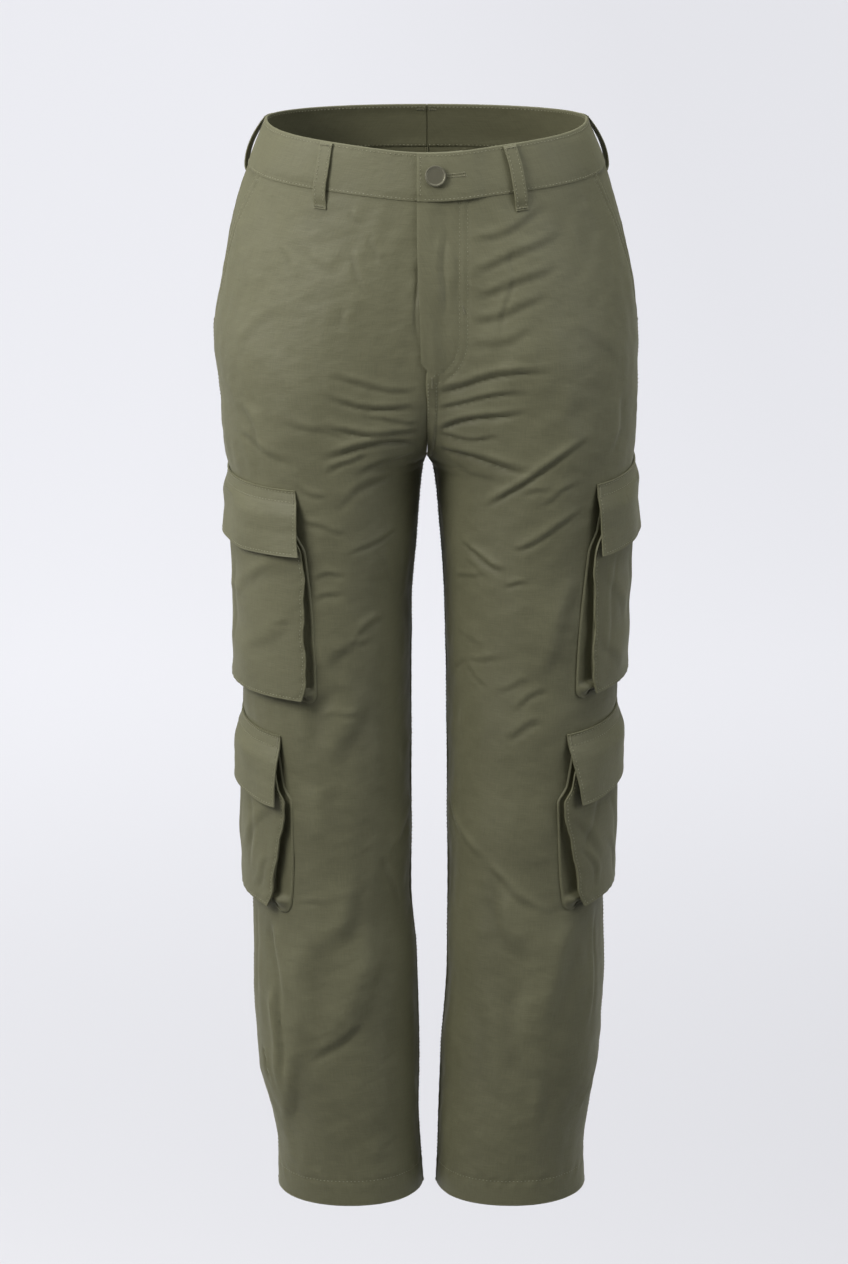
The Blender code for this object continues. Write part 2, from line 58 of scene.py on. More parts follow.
TABLE_STEP = 0.003
SEAM_GAP = 0.0003
BAND_UNDERLAP = 0.030        # how far the right front's waist runs on under the left

Section = namedtuple("Section", "z outer_right outer_left inner_right inner_left front back")
SECTIONS = [
    Section(0.000, 0.1400, 0.1390, 0.0002, 0.0002, 0.098, 0.100),
    Section(-0.040, 0.1555, 0.1550, 0.0002, 0.0002, 0.107, 0.113),
    Section(-0.100, 0.1730, 0.1720, 0.0002, 0.0002, 0.114, 0.130),
    Section(-0.150, 0.1815, 0.1815, 0.0002, 0.0002, 0.117, 0.137),
    Section(-0.200, 0.1865, 0.1858, 0.0002, 0.0002, 0.118, 0.138),
    Section(-0.250, 0.1815, 0.1845, 0.0002, 0.0002, 0.116, 0.132),
    Section(-0.2955, 0.1765, 0.1825, 0.0003, 0.0003, 0.112, 0.120),
    Section(-0.305, 0.1745, 0.1815, 0.0040, 0.0055, 0.111, 0.117),
    Section(-0.370, 0.1655, 0.1735, 0.0098, 0.0125, 0.106, 0.108),
    Section(-0.430, 0.1625, 0.1700, 0.0142, 0.0160, 0.102, 0.102),
    Section(-0.515, 0.1635, 0.1685, 0.0143, 0.0178, 0.097, 0.095),
    Section(-0.600, 0.1575, 0.1610, 0.0143, 0.0185, 0.093, 0.091),
    Section(-0.690, 0.1560, 0.1590, 0.0145, 0.0190, 0.088, 0.088),
    Section(-0.760, 0.1570, 0.1605, 0.0095, 0.0185, 0.085, 0.086),
    Section(-0.850, 0.1535, 0.1560, 0.0073, 0.0130, 0.080, 0.082),
    Section(-0.900, 0.1420, 0.1475, 0.0080, 0.0110, 0.077, 0.079),
    Section(-0.940, 0.1365, 0.1425, 0.0060, 0.0100, 0.075, 0.076),
    Section(-0.973, 0.1355, 0.1440, 0.0035, 0.0085, 0.074, 0.075),
]


def smooth(t):
    """0 to 1 with level ends."""
    t = np.clip(t, 0.0, 1.0)
    return t * t * (3 - 2 * t)


def column(name, z):
    """One column of SECTIONS at height z, on a smooth curve that never overshoots its rows."""
    heights = np.array([row.z for row in SECTIONS])[::-1]
    values = np.array([getattr(row, name) for row in SECTIONS])[::-1]
    secants = np.diff(values) / np.diff(heights)
    product = secants[1:] * secants[:-1]
    total = np.where(product > 0, secants[1:] + secants[:-1], 1.0)
    inside = np.where(product > 0, 2 * product / total, 0.0)
    slopes = np.concatenate([secants[:1], inside, secants[-1:]])
    z = np.clip(z, heights[0], heights[-1])
    low = np.clip(np.searchsorted(heights, z) - 1, 0, len(heights) - 2)
    span = heights[low + 1] - heights[low]
    t = (z - heights[low]) / span
    return ((2 * t**3 - 3 * t**2 + 1) * values[low] + (t**3 - 2 * t**2 + t) * span * slopes[low]
            + (3 * t**2 - 2 * t**3) * values[low + 1] + (t**3 - t**2) * span * slopes[low + 1])


def quarter(inner, outer, depth, spread, z):
    """A quarter of the section, from the centre seam or inseam out to the side seam."""
    rise = max(z - CROTCH_Z, 0.0)
    tip = inner - spread * (CROTCH_SPREAD * rise + CROTCH_WIDENING * rise**2)
    crest = 0.5 * (inner + outer) * (0.05 + 0.95 * smooth((-z - 0.03) / 0.25))
    cut = ((crest - inner) / (crest - tip)) ** (SQUARENESS / 2)
    near = np.linspace(math.acos(min(cut, 1.0)), math.pi / 2, LINE_STEPS + 1)
    far = np.linspace(math.pi / 2, 0, LINE_STEPS + 1)[1:]
    power = 2 / SQUARENESS
    near_x = crest - (crest - tip) * np.maximum(np.cos(near), 0.0) ** power
    far_x = crest + (outer - crest) * np.maximum(np.cos(far), 0.0) ** power
    angles = np.concatenate([near, far])
    return np.concatenate([near_x, far_x]), depth * np.maximum(np.sin(angles), 0.0) ** power


def build_tables(side):
    """Cloth points of one side, by height and by steps of arc, in two runs for each half."""
    name = "left" if side == LEFT else "right"
    heights = np.arange(HEM_Z, TABLE_STEP / 2, TABLE_STEP)
    crotch_rows = CROTCH_Z + 0.004 * np.linspace(0, 6, 37) ** 1.5 / 6
    heights = np.unique(np.concatenate([heights, crotch_rows, [CROTCH_Z - 0.001, 0.0]]))
    table = {"z": heights}
    even = np.linspace(0, 1, LINE_STEPS + 1)
    for half, spread, sign in (("front", 1.0, -1), ("back", BACK_SPREAD, 1)):
        points, splits, lengths = [], [], []
        for z in heights:
            inner, outer = column("inner_" + name, z), column("outer_" + name, z)
            x, y = quarter(inner, outer, column(half, z), spread, z)
            x, y = x[::-1], y[::-1]
            arc = np.concatenate([[0], np.cumsum(np.hypot(np.diff(x), np.diff(y)))])
            split = np.interp(-SPLIT * outer, -x, arc)
            places = np.concatenate([even * split, split + even[1:] * (arc[-1] - split)])
            points.append((np.interp(places, arc, x), sign * np.interp(places, arc, y)))
            splits.append(split)
            lengths.append(arc[-1])
        table[half] = np.array(points)
        table[half + "_split"] = np.array(splits)
        table[half + "_length"] = np.array(lengths)
    return table


TABLES = {side: build_tables(side) for side in (LEFT, RIGHT)}


def arc_length(side, half, z, part="_length"):
    """Length of cloth from the side seam to the centre seam or inseam, or to the split."""
    table = TABLES[side]
    return np.interp(z, table["z"], table[half + part])


def base_point(side, arc, z):
    """The cloth's outer face without creases, at an arc and height: an array of x, y, z."""
    table = TABLES[side]
    arc, z = np.broadcast_arrays(np.asarray(arc, float), np.asarray(z, float))
    row = np.clip(np.interp(z, table["z"], np.arange(len(table["z"]))), 0, len(table["z"]) - 1.001)
    low = row.astype(int)
    rise = row - low
    in_front = arc >= 0
    length, split = (np.where(in_front, arc_length(side, "front", z, part),
                              arc_length(side, "back", z, part)) for part in ("_length", "_split"))
    run = np.abs(arc)
    past = (run > length * 1.00001) & (z > FRONT_CURVE_Z)
    run = np.where(past, 2 * length - run, run)
    place = np.where(run < split, run / split, 1 + (run - split) / (length - split)) * LINE_STEPS
    place = np.clip(place, 0, 2 * LINE_STEPS - 0.001)
    left = place.astype(int)
    across = place - left
    point = []
    for axis in (0, 1):
        value = 0
        for half, chosen in (("front", in_front), ("back", ~in_front)):
            grid = table[half][:, axis]
            lower = grid[low, left] * (1 - across) + grid[low, left + 1] * across
            upper = grid[low + 1, left] * (1 - across) + grid[low + 1, left + 1] * across
            value = value + np.where(chosen, lower * (1 - rise) + upper * rise, 0)
        point.append(value)
    x, y = point
    x = side * np.where(past, -x, x)
    fade = smooth(1 - (-z - BAND_HEIGHT) / DIP_FADE)
    peak = BUTTON_DIP * np.exp(-(x / BUTTON_DIP_REACH) ** 2)
    front = SECTIONS[0].front
    dip = np.where(y < 0, WAIST_DIP * -y / front + peak * smooth(-y / front), 0)
    return np.stack([x, y, z - dip * fade], axis=-1)


def arc_at(side, half, x, z):
    """The arc where the cloth has this x, on the front or the back."""
    length = float(arc_length(side, half, z))
    arcs = np.linspace(0.0, length, 120) * (1 if half == "front" else -1)
    across = np.abs(base_point(side, arcs, np.full(120, z))[:, 0])
    return float(np.interp(-abs(x), -across, arcs))


# ---- Creases, drag lines and seam puckers --------------------------------------------------------
# Light crisp cloth that has been worn and moved in: sharp drag lines fan out from the crotch, soft
# diagonals cross the hips, and long loose folds run down the shins. Each crease is a low ridge with
# a trough under it, from one place on the cloth to another, tapering to nothing at its ends.

# Ends are x and z, and they, bow and width are in millimetres. Ridge and valley are in CREASE_DEPTHs
Crease = namedtuple("Crease", "half x0 z0 x1 z1 bow width ridge valley")
CREASES = [
    # fans from the crotch, wearer's right
    Crease("front", -8, -222, -95, -206, -3, 7, 0.7, 1.0),
    Crease("front", -7, -238, -98, -224, -4, 7, 1.0, 1.5),
    Crease("front", -6, -250, -60, -243, -2, 5, 0.6, 0.9),
    Crease("front", -6, -260, -98, -250, -4, 7, 1.2, 1.8),
    Crease("front", -7, -269, -100, -281, 4, 8, 1.5, 2.4),
    Crease("front", -8, -280, -66, -300, 3, 6, 0.8, 1.2),
    Crease("front", -52, -277, -92, -300, 2, 6, 0.9, 1.2),
    Crease("front", -66, -262, -128, -244, -3, 8, 0.6, 0.8),
    Crease("front", -30, -300, -84, -330, 5, 8, 0.7, 0.9),
    Crease("front", -88, -318, -120, -300, -2, 6, 0.6, 0.9),
    # fans from the crotch, wearer's left
    Crease("front", 7, -222, 114, -202, 3, 8, 1.2, 2.0),
    Crease("front", 7, -237, 96, -222, 2, 6, 0.9, 1.4),
    Crease("front", 7, -257, 90, -238, 2, 7, 1.3, 2.2),
    Crease("front", 8, -261, 66, -262, -3, 5, 0.8, 1.2),
    Crease("front", 8, -273, 98, -291, -3, 8, 1.5, 2.5),
    Crease("front", 22, -290, 60, -302, -2, 6, 0.5, 0.7),
    # the wearer's left thigh
    Crease("front", 50, -328, 146, -262, 4, 6, 1.8, 2.4),
    Crease("front", 84, -312, 108, -308, 0, 5, 0.6, 0.8),
    Crease("front", 74, -364, 138, -324, -3, 6, 1.1, 1.6),
    Crease("front", 100, -323, 130, -303, 1, 5, 0.7, 0.9),
    Crease("front", 30, -362, 74, -383, -2, 6, 0.9, 1.2),
    Crease("front", 34, -376, 56, -392, -1, 5, 0.5, 0.7),
    # hips
    Crease("front", 37, -77, 108, -51, -4, 8, 0.8, 1.1),
    Crease("front", 36, -106, 118, -71, -5, 9, 0.9, 1.3),
    Crease("front", 39, -132, 117, -102, -4, 9, 0.9, 1.3),
    Crease("front", 36, -157, 111, -133, -3, 9, 0.9, 1.2),
    Crease("front", 38, -183, 98, -164, -2, 9, 0.7, 0.9),
    Crease("front", 73, -114, 59, -180, 1, 5, 0.4, 0.8),
    Crease("front", 68, -90, 74, -118, 0, 5, 0.3, 0.6),
    Crease("front", -125, -92, -113, -123, 1, 5, 0.6, 0.9),
    Crease("front", -104, -92, -90, -110, 0, 6, 0.4, 0.6),
    Crease("front", -67, -88, -49, -144, 2, 6, 0.5, 0.7),
    Crease("front", -47, -72, -41, -104, 0, 6, 0.4, 0.6),
    Crease("front", -66, -54, -55, -66, 0, 4, 0.5, 0.8),
    Crease("front", -73, -148, -67, -172, 0, 7, 0.4, 0.6),
    Crease("front", -163, -265, -111, -293, 3, 8, 0.7, 0.9),
    Crease("front", -7, -96, -6, -188, 0, 5, 0.2, 0.9),
    Crease("front", 14, -64, 11, -160, 1, 7, 0.5, 0.8),
    Crease("front", 21, -70, 25, -150, 1, 7, 0.4, 0.6),
    Crease("front", -120, -150, -168, -196, 3, 12, 0.5, 0.7),
    Crease("front", 128, -160, 168, -206, -3, 12, 0.5, 0.7),
    # the wearer's right leg, thigh to hem
    Crease("front", -26, -352, -76, -372, 3, 6, 0.6, 0.9),
    Crease("front", -70, -348, -114, -332, -3, 6, 0.6, 0.8),
    Crease("front", -39, -426, -68, -446, 1, 7, 1.0, 0.8),
    Crease("front", -68, -446, -84, -483, 2, 12, 0.8, 1.4),
    Crease("front", -84, -483, -109, -554, 3, 16, 1.0, 1.8),
    Crease("front", -54, -495, -82, -575, -3, 18, 1.6, 1.4),
    Crease("front", -82, -575, -93, -634, 2, 16, 1.2, 1.0),
    Crease("front", -93, -514, -56, -513, 1, 6, 0.7, 0.9),
    Crease("front", -68, -450, -50, -447, 1, 6, 0.6, 0.9),
    Crease("front", -100, -389, -68, -386, 2, 6, 0.6, 0.9),
    Crease("front", -98, -409, -72, -400, 1, 6, 0.6, 0.9),
    Crease("front", -42, -367, -28, -412, 2, 6, 0.5, 0.7),
    Crease("front", -40, -647, -23, -715, 1, 6, 0.9, 0.9),
    Crease("front", -124, -686, -86, -686, 0, 4, 0.5, 0.8),
    Crease("front", -52, -668, -96, -742, -3, 18, 1.3, 1.3),
    Crease("front", -92, -716, -112, -846, 2, 20, 1.8, 1.6),
    Crease("front", -107, -826, -126, -918, 2, 13, 1.6, 1.7),
    Crease("front", -31, -728, -100, -838, -4, 24, 2.2, 1.3),
    Crease("front", -57, -801, -105, -841, 2, 9, 0.9, 1.4),
    Crease("front", -138, -707, -128, -801, 2, 9, 1.8, 1.6),
    Crease("front", -134, -770, -124, -880, 2, 9, 2.0, 2.0),
    Crease("front", -148, -836, -139, -868, 1, 6, 1.6, 3.0),
    Crease("front", -13, -609, -49, -660, 2, 10, 0.8, 0.8),
    # the wearer's left leg, thigh to hem
    Crease("front", 134, -387, 94, -483, -6, 14, 1.2, 1.2),
    Crease("front", 103, -490, 73, -510, 2, 6, 0.9, 1.6),
    Crease("front", 99, -519, 67, -536, 2, 8, 1.0, 1.6),
    Crease("front", 90, -481, 57, -495, 1, 6, 0.6, 0.9),
    Crease("front", 24, -479, 37, -468, 0, 4, 0.6, 1.2),
    Crease("front", 35, -469, 69, -463, 1, 5, 0.8, 1.2),
    Crease("front", 34, -471, 55, -493, -1, 4, 0.8, 1.2),
    Crease("front", 27, -443, 53, -453, -2, 5, 0.5, 0.7),
    Crease("front", 68, -395, 89, -394, 1, 5, 0.8, 1.1),
    Crease("front", 25, -398, 53, -387, 1, 5, 0.6, 0.9),
    Crease("front", 35, -367, 69, -386, 2, 5, 0.8, 1.0),
    Crease("front", 21, -605, 59, -658, -3, 8, 1.2, 0.8),
    Crease("front", 54, -651, 113, -696, -7, 7, 1.4, 0.8),
    Crease("front", 54, -669, 80, -747, 3, 16, 1.6, 1.6),
    Crease("front", 75, -749, 76, -870, 3, 18, 1.4, 1.6),
    Crease("front", 138, -696, 92, -822, -4, 20, 2.0, 1.2),
    Crease("front", 150, -700, 146, -823, 2, 7, 1.2, 1.6),
    Crease("front", 44, -771, 55, -884, 3, 16, 0.9, 0.9),
    Crease("front", 114, -836, 96, -910, 2, 14, 0.8, 0.8),
    Crease("front", 152, -862, 138, -896, -2, 6, 1.2, 1.5),
    # seat
    Crease("back", -8, -262, -104, -238, -4, 9, 1.4, 2.2),
    Crease("back", 8, -264, 110, -234, 4, 9, 1.4, 2.2),
    Crease("back", -8, -276, -92, -282, 4, 8, 1.1, 1.7),
    Crease("back", 8, -278, 96, -288, -3, 8, 1.2, 1.8),
    Crease("back", -10, -244, -84, -212, -5, 9, 0.8, 1.2),
    Crease("back", 10, -246, 78, -218, 4, 8, 0.8, 1.2),
    Crease("back", -20, -300, -118, -322, 6, 10, 1.1, 1.6),
    Crease("back", 20, -302, 124, -318, -6, 10, 1.1, 1.5),
    Crease("back", -70, -262, -146, -230, -4, 9, 0.9, 1.2),
    Crease("back", 74, -256, 150, -236, 5, 9, 0.8, 1.2),
    Crease("back", -30, -96, -112, -70, -4, 13, 0.6, 0.8),
    Crease("back", 34, -100, 104, -66, 4, 13, 0.6, 0.8),
    Crease("back", -60, -150, -140, -124, -5, 14, 0.5, 0.6),
    Crease("back", 54, -158, 132, -138, 4, 14, 0.5, 0.6),
    # backs of the knees
    Crease("back", -26, -352, -100, -342, -4, 9, 0.7, 1.0),
    Crease("back", 32, -346, 112, -360, -4, 9, 0.7, 1.0),
    Crease("back", -26, -520, -112, -546, 8, 9, 1.2, 1.8),
    Crease("back", -34, -566, -126, -548, -6, 8, 1.4, 2.0),
    Crease("back", -24, -594, -104, -606, 5, 9, 1.0, 1.4),
    Crease("back", -70, -626, -130, -604, -4, 9, 0.8, 1.2),
    Crease("back", 30, -534, 118, -552, -7, 9, 1.2, 1.7),
    Crease("back", 34, -584, 130, -562, 5, 8, 1.4, 2.0),
    Crease("back", 30, -606, 96, -622, -4, 9, 1.0, 1.3),
    Crease("back", 58, -650, 128, -630, 5, 9, 0.8, 1.1),
    Crease("back", -52, -430, -104, -452, 4, 12, 0.6, 0.8),
    Crease("back", 50, -440, 108, -424, 4, 12, 0.6, 0.8),
    # backs of the shins
    Crease("back", -58, -690, -66, -862, 4, 15, 0.9, 1.1),
    Crease("back", -108, -706, -98, -838, 3, 13, 0.8, 1.0),
    Crease("back", 66, -704, 60, -874, 4, 15, 0.9, 1.1),
    Crease("back", 112, -720, 104, -846, 3, 13, 0.8, 1.0),
    Crease("back", -120, -858, -126, -926, 2, 10, 1.0, 1.4),
    Crease("back", 124, -862, 118, -930, 2, 10, 1.0, 1.4),
    Crease("back", -36, -880, -92, -896, 4, 11, 0.6, 0.8),
    Crease("back", 40, -896, 96, -884, 4, 11, 0.6, 0.8),
    # the sides, between and below the pockets
    Crease("front", -160, -236, -140, -292, 3, 10, 0.9, 1.2),
    Crease("front", 170, -232, 158, -290, -3, 10, 0.9, 1.2),
    Crease("back", -165, -248, -150, -296, 3, 10, 0.8, 1.1),
    Crease("back", 172, -246, 160, -294, 3, 10, 0.8, 1.1),
    Crease("front", -152, -700, -150, -800, 2, 9, 0.8, 1.0),
    Crease("back", -148, -702, -146, -824, 2, 10, 0.8, 1.1),
    Crease("back", 152, -706, 150, -822, 2, 10, 0.8, 1.1),
]


CREASE_DEPTH = 1.30 * MM     # height of a ridge of 1 in the table
SOFT_GAIN = 0.55             # how much higher wide soft folds stand


def crease_arcs(side):
    """The creases of one side as ends on the cloth, in metres."""
    rows = []
    for crease in CREASES:
        if crease.x0 * side > 0:
            u0 = arc_at(side, crease.half, crease.x0 * MM, crease.z0 * MM)
            u1 = arc_at(side, crease.half, crease.x1 * MM, crease.z1 * MM)
            depths = (crease.ridge * CREASE_DEPTH, crease.valley * CREASE_DEPTH)
            sizes = (crease.bow * MM, crease.width * MM, *depths)
            rows.append((u0, crease.z0 * MM, u1, crease.z1 * MM, *sizes))
    return rows


def fold_profile(x):
    """A fold across: 1 on its line, nearly straight sides and a crisp top, as crisp cloth folds."""
    return np.exp(0.3 - np.sqrt(x * x + 0.09))


def crease_height(rows, u, v):
    """How far creases, each from u0, v0 to u1, v1, move the cloth out, or in below zero."""
    total = np.zeros(np.broadcast(u, v).shape)
    for u0, v0, u1, v1, bow, width, ridge, valley in rows:
        du, dv = u1 - u0, v1 - v0
        length = math.hypot(du, dv)
        along = ((u - u0) * du + (v - v0) * dv) / length**2
        away = ((v - v0) * du - (u - u0) * dv) / length
        upward = 1 if du >= 0 else -1
        wander = 0.22 * width * np.sin(7 * along + 900 * (u0 + v0))
        t = np.clip(along, 0, 1)
        across = (upward * away - bow * 4 * t * (1 - t) + wander) / width
        soft = smooth((width - 0.008) / 0.005)
        taper = smooth(along / (0.18 + 0.2 * soft) + 0.1) * smooth((1 - along) / 0.4)
        height = ridge * fold_profile((across - 0.55) / (0.42 + 0.40 * soft))
        depth = valley * fold_profile((across + 0.30) / (0.26 + 0.44 * soft))
        total = total + (1 + SOFT_GAIN * soft) * taper * (height - depth)
    return total


def make_waves(seed, count, shortest, longest, height):
    """Random slow waves that keep a surface from lying quite even: direction, length, phase."""
    rng = random.Random(seed)
    waves = []
    for _ in range(count):
        turn = rng.uniform(0, math.pi)
        wave = rng.uniform(shortest, longest)
        waves.append((math.cos(turn) * 2 * math.pi / wave, math.sin(turn) * 2 * math.pi / wave,
                      rng.uniform(0, 2 * math.pi), height * wave / longest))
    return waves


def wave_height(waves, u, v):
    """The sum of the waves, each swelling and fading slowly along its way."""
    total = 0
    for number, (per_u, per_v, phase, height) in enumerate(waves):
        swell = 0.5 + 0.5 * np.sin(0.31 * (per_v * u - per_u * v) + 1.7 * number)
        total = total + height * swell * np.sin(per_u * u + per_v * v + phase)
    return total


LOOSE_WAVES = make_waves(11, 16, 0.040, 0.140, 0.42 * MM)
FINE_WAVES = make_waves(5, 18, 0.012, 0.030, 0.13 * MM)
CREASE_ARCS = {side: crease_arcs(side) for side in (LEFT, RIGHT)}

# The pockets' places, because the cloth lies flatter under them
Pocket = namedtuple("Pocket", "name side top front back height flap drop")
POCKETS = [
    Pocket("upper_pocket_right", RIGHT, -0.3065, 0.120, -0.072, 0.187, 0.056, 0.03),
    Pocket("upper_pocket_left", LEFT, -0.3000, 0.091, -0.101, 0.187, 0.060, 0.08),
    Pocket("lower_pocket_right", RIGHT, -0.5270, 0.084, -0.080, 0.158, 0.060, 0.08),
    Pocket("lower_pocket_left", LEFT, -0.5210, 0.094, -0.070, 0.160, 0.062, 0.10),
]
CALM_REACH = 0.010           # how soon the creases die out at a pocket's edge
FELL = 0.0085                # width of a felled seam's raised strip
FLY_END_Z = -0.212


def calmness(side, arc, z):
    """1 on open cloth, near 0 under a pocket."""
    calm = 1.0
    for pocket in POCKETS:
        if pocket.side != side:
            continue
        below = pocket.top - pocket.drop * arc - z
        inside = (smooth((arc - pocket.back) / CALM_REACH + 0.5)
                  * smooth((pocket.front + 0.010 - arc) / CALM_REACH + 0.5)
                  * smooth(below / CALM_REACH + 0.7)
                  * smooth((pocket.height - below) / CALM_REACH + 0.7))
        calm = calm * (1 - 0.92 * inside)
    return calm


FLY_OUTER, FLY_INNER = 0.0345, 0.0275
FLY_TURN_Z = -0.176          # where the fly's two rows start to curve to the centre
FLY_FEET = {FLY_OUTER: -0.2155, FLY_INNER: -0.2085}
FLY_FOOT_OUT = 0.004         # where the fly's rows end, out from the centre
POCKET_MOUTH, POCKET_MOUTH_Z = 0.038, -0.178
MOUTH_ROWS = (0.0022, 0.0088)
GROOVE_DEPTH = 0.68 * MM     # how far a row of topstitching draws the cloth in


def mouth_arc(z):
    """Arc of the slanted pocket mouth's edge at height z, 0 below the mouth."""
    share = np.clip((z - POCKET_MOUTH_Z) / (-BAND_HEIGHT - POCKET_MOUTH_Z), 0, 1)
    return POCKET_MOUTH * share


def stitched_groove(side, arc, z, to_inner):
    """How deep the topstitching draws the cloth in, at the fly and beside the pocket mouths."""
    depth = 0
    if side == LEFT:
        for distance, foot_z in FLY_FEET.items():
            turn = np.clip((FLY_TURN_Z - z) / (FLY_TURN_Z - foot_z), 0, 1)
            away = FLY_FOOT_OUT + (distance - FLY_FOOT_OUT) * np.sqrt(1 - turn**2)
            kept = smooth((z - foot_z) / 0.002)
            depth = depth + kept * np.exp(-((to_inner - away) / 0.0013) ** 2)
    past_mouth = arc - mouth_arc(z)
    for inset in MOUTH_ROWS:
        kept = smooth((z - POCKET_MOUTH_Z) / 0.003) * (arc > 0)
        depth = depth + kept * np.exp(-((past_mouth - inset) / 0.0012) ** 2)
    return GROOVE_DEPTH * depth


def seam_height(side, arc, z, to_inner):
    """Raised strips where seams have their turnings, with a groove at the seam line."""
    below_mouth = smooth((-0.170 - z) / 0.010)
    side_strip = smooth((arc + FELL) / 0.0015) * smooth((0.0006 - arc) / 0.0012)
    side_seam = below_mouth * (0.45 * MM * side_strip - 0.30 * MM * np.exp(-(arc / 0.0016) ** 2))
    in_front = arc > 0
    centre = 1.1 * (side == LEFT) * smooth((FLY_END_Z + 0.006 - z) / 0.006)
    fell = smooth((FELL - to_inner) / 0.0018) * np.where(z > CROTCH_Z, centre, 1.0)
    ripple = 0.10 * MM * np.sin(z / 0.0019 + 2.2 * np.sin(z / 0.031))
    inner_strip = np.where(in_front, fell * (0.55 * MM + ripple), 0.0)
    groove = 0.28 * MM * np.exp(-((to_inner - FELL - 0.0012) / 0.0016) ** 2)
    groove = groove * np.where(z > CROTCH_Z, centre, 1.0)
    inner_strip = (inner_strip - np.where(in_front, groove, 0)) * smooth((to_inner + 0.0005) / 0.002)
    return side_seam + inner_strip - stitched_groove(side, arc, z, to_inner)


def relief(side, arc, z):
    """All that moves the cloth off its smooth form."""
    arc, z = np.broadcast_arrays(np.asarray(arc, float), np.asarray(z, float))
    to_inner = np.where(arc >= 0, arc_length(side, "front", z), arc_length(side, "back", z))
    to_inner = to_inner - np.abs(arc)
    fade = smooth(to_inner / np.where(z < CROTCH_Z, 0.016, 0.007))
    fade = fade * smooth((-BAND_HEIGHT - z) / 0.018) * calmness(side, arc, z)
    hem = smooth((z - HEM_Z - HEM_DEPTH + 0.004) / 0.012)
    fade = fade * (0.45 + 0.55 * hem)
    turn = 0.35 * side
    loose = wave_height(LOOSE_WAVES, arc + turn, z) + wave_height(FINE_WAVES, arc + turn, z)
    folds = crease_height(CREASE_ARCS[side], arc, z)
    stitch_z = HEM_Z + HEM_DEPTH - 0.002
    roping = np.sin(arc / 0.0026 + 1.4 * np.sin(arc / 0.021) + 2.0 * (z - stitch_z) / 0.008)
    at_hem = np.exp(-((z - stitch_z) / 0.006) ** 2)
    tuck = 0.30 * MM * at_hem * roping - 0.35 * MM * np.exp(-((z - stitch_z) / 0.0018) ** 2)
    return fade * (loose + folds) + seam_height(side, arc, z, to_inner) + tuck


def cloth(side, arc, z, out=0.0, lie=True):
    """Points a distance out from the cloth, along its normal. lie adds the cloth's relief."""
    arc, z = np.broadcast_arrays(np.asarray(arc, float), np.asarray(z, float))
    step = 0.0015
    front_end, back_end = arc_length(side, "front", z), arc_length(side, "back", z)
    beyond = np.where(z > FRONT_CURVE_Z, BAND_UNDERLAP + 2 * step, 0.0)
    after = np.minimum(arc + step, front_end + beyond)
    before = np.maximum(arc - step, -back_end - beyond)
    forward = base_point(side, after, z) - base_point(side, before, z)
    ends = []
    for height in (z + step, z - step):
        kept = np.clip(arc, -arc_length(side, "back", height) - beyond,
                       arc_length(side, "front", height) + beyond)
        ends.append(base_point(side, kept, height))
    normal = np.cross(ends[0] - ends[1], forward) * side
    normal[..., 2] *= smooth((-BAND_HEIGHT - z - 0.005) / 0.05)
    normal /= np.linalg.norm(normal, axis=-1, keepdims=True)
    out = np.broadcast_to(np.asarray(out, float), arc.shape)
    if lie:
        out = out + relief(side, arc, z)
    return base_point(side, arc, z) + normal * out[..., None]


# ---- Leg panels ----------------------------------------------------------------------------------
# Fronts and backs of olive twill. The wearer's left front laps over the right one at the fly, and
# both fronts are cut away for the slanted hip pockets, with their edges turned under and pressed.
CLOTH_WALL = 0.0007
FLY_LAP, FLY_LAP_LOW = 0.0085, 0.0050
FLY_RISE, FLY_RAMP, FLY_FADE = 0.0024, 0.018, 0.025
MOUTH_LIFT, MOUTH_LIFT_REACH = 0.0006, 0.014
CELL = 0.0031                # spacing of the mesh
EDGE_CELLS = np.array([0.0, 0.0012, 0.0024, 0.0038, 0.0054])
MOUTH_CELLS = np.array([0.0, 0.0011, 0.0022, 0.0033, 0.0050, 0.0066, 0.0077, 0.0088, 0.0100, 0.0116])
# OLIVE is the cloth's colour. OLIVE_DEEP is its deeper dye tone and also painted shade in fold bottoms and
# recesses. The third, paler colour is for edges paler with wear and also for painted highlights on fold
# tops and on a lit edge.
OLIVE, OLIVE_DEEP, OLIVE_WORN_AND_LIT = "63624a", "4d4c39", "77765c"


def linear(hex_colour):
    """An sRGB hex colour as linear red, green, blue and alpha."""
    values = [int(hex_colour[k:k + 2], 16) / 255 for k in (0, 2, 4)]
    return [v / 12.92 if v <= 0.04045 else ((v + 0.055) / 1.055) ** 2.4 for v in values] + [1.0]


def add_node(tree, kind, settings=None, links=None, **properties):
    """A node with its properties, its unlinked values and its links (socket: source socket)."""
    node = tree.nodes.new("ShaderNode" + kind)
    for name, value in properties.items():
        setattr(node, name, value)
    for name, value in (settings or {}).items():
        node.inputs[name].default_value = value
    for name, source in (links or {}).items():
        tree.links.new(source, node.inputs[name])
    return node


def remap(tree, value, start, end, to_start, to_end, **properties):
    """A value's range from start to end carried over to another range."""
    settings = {"From Min": start, "From Max": end, "To Min": to_start, "To Max": to_end}
    return add_node(tree, "MapRange", settings, {"Value": value}, **properties).outputs["Result"]


def new_material(name):
    """An empty Principled material: its tree and its shader."""
    finish = bpy.data.materials.new(name)
    finish.use_nodes = True
    return finish, finish.node_tree, finish.node_tree.nodes["Principled BSDF"]


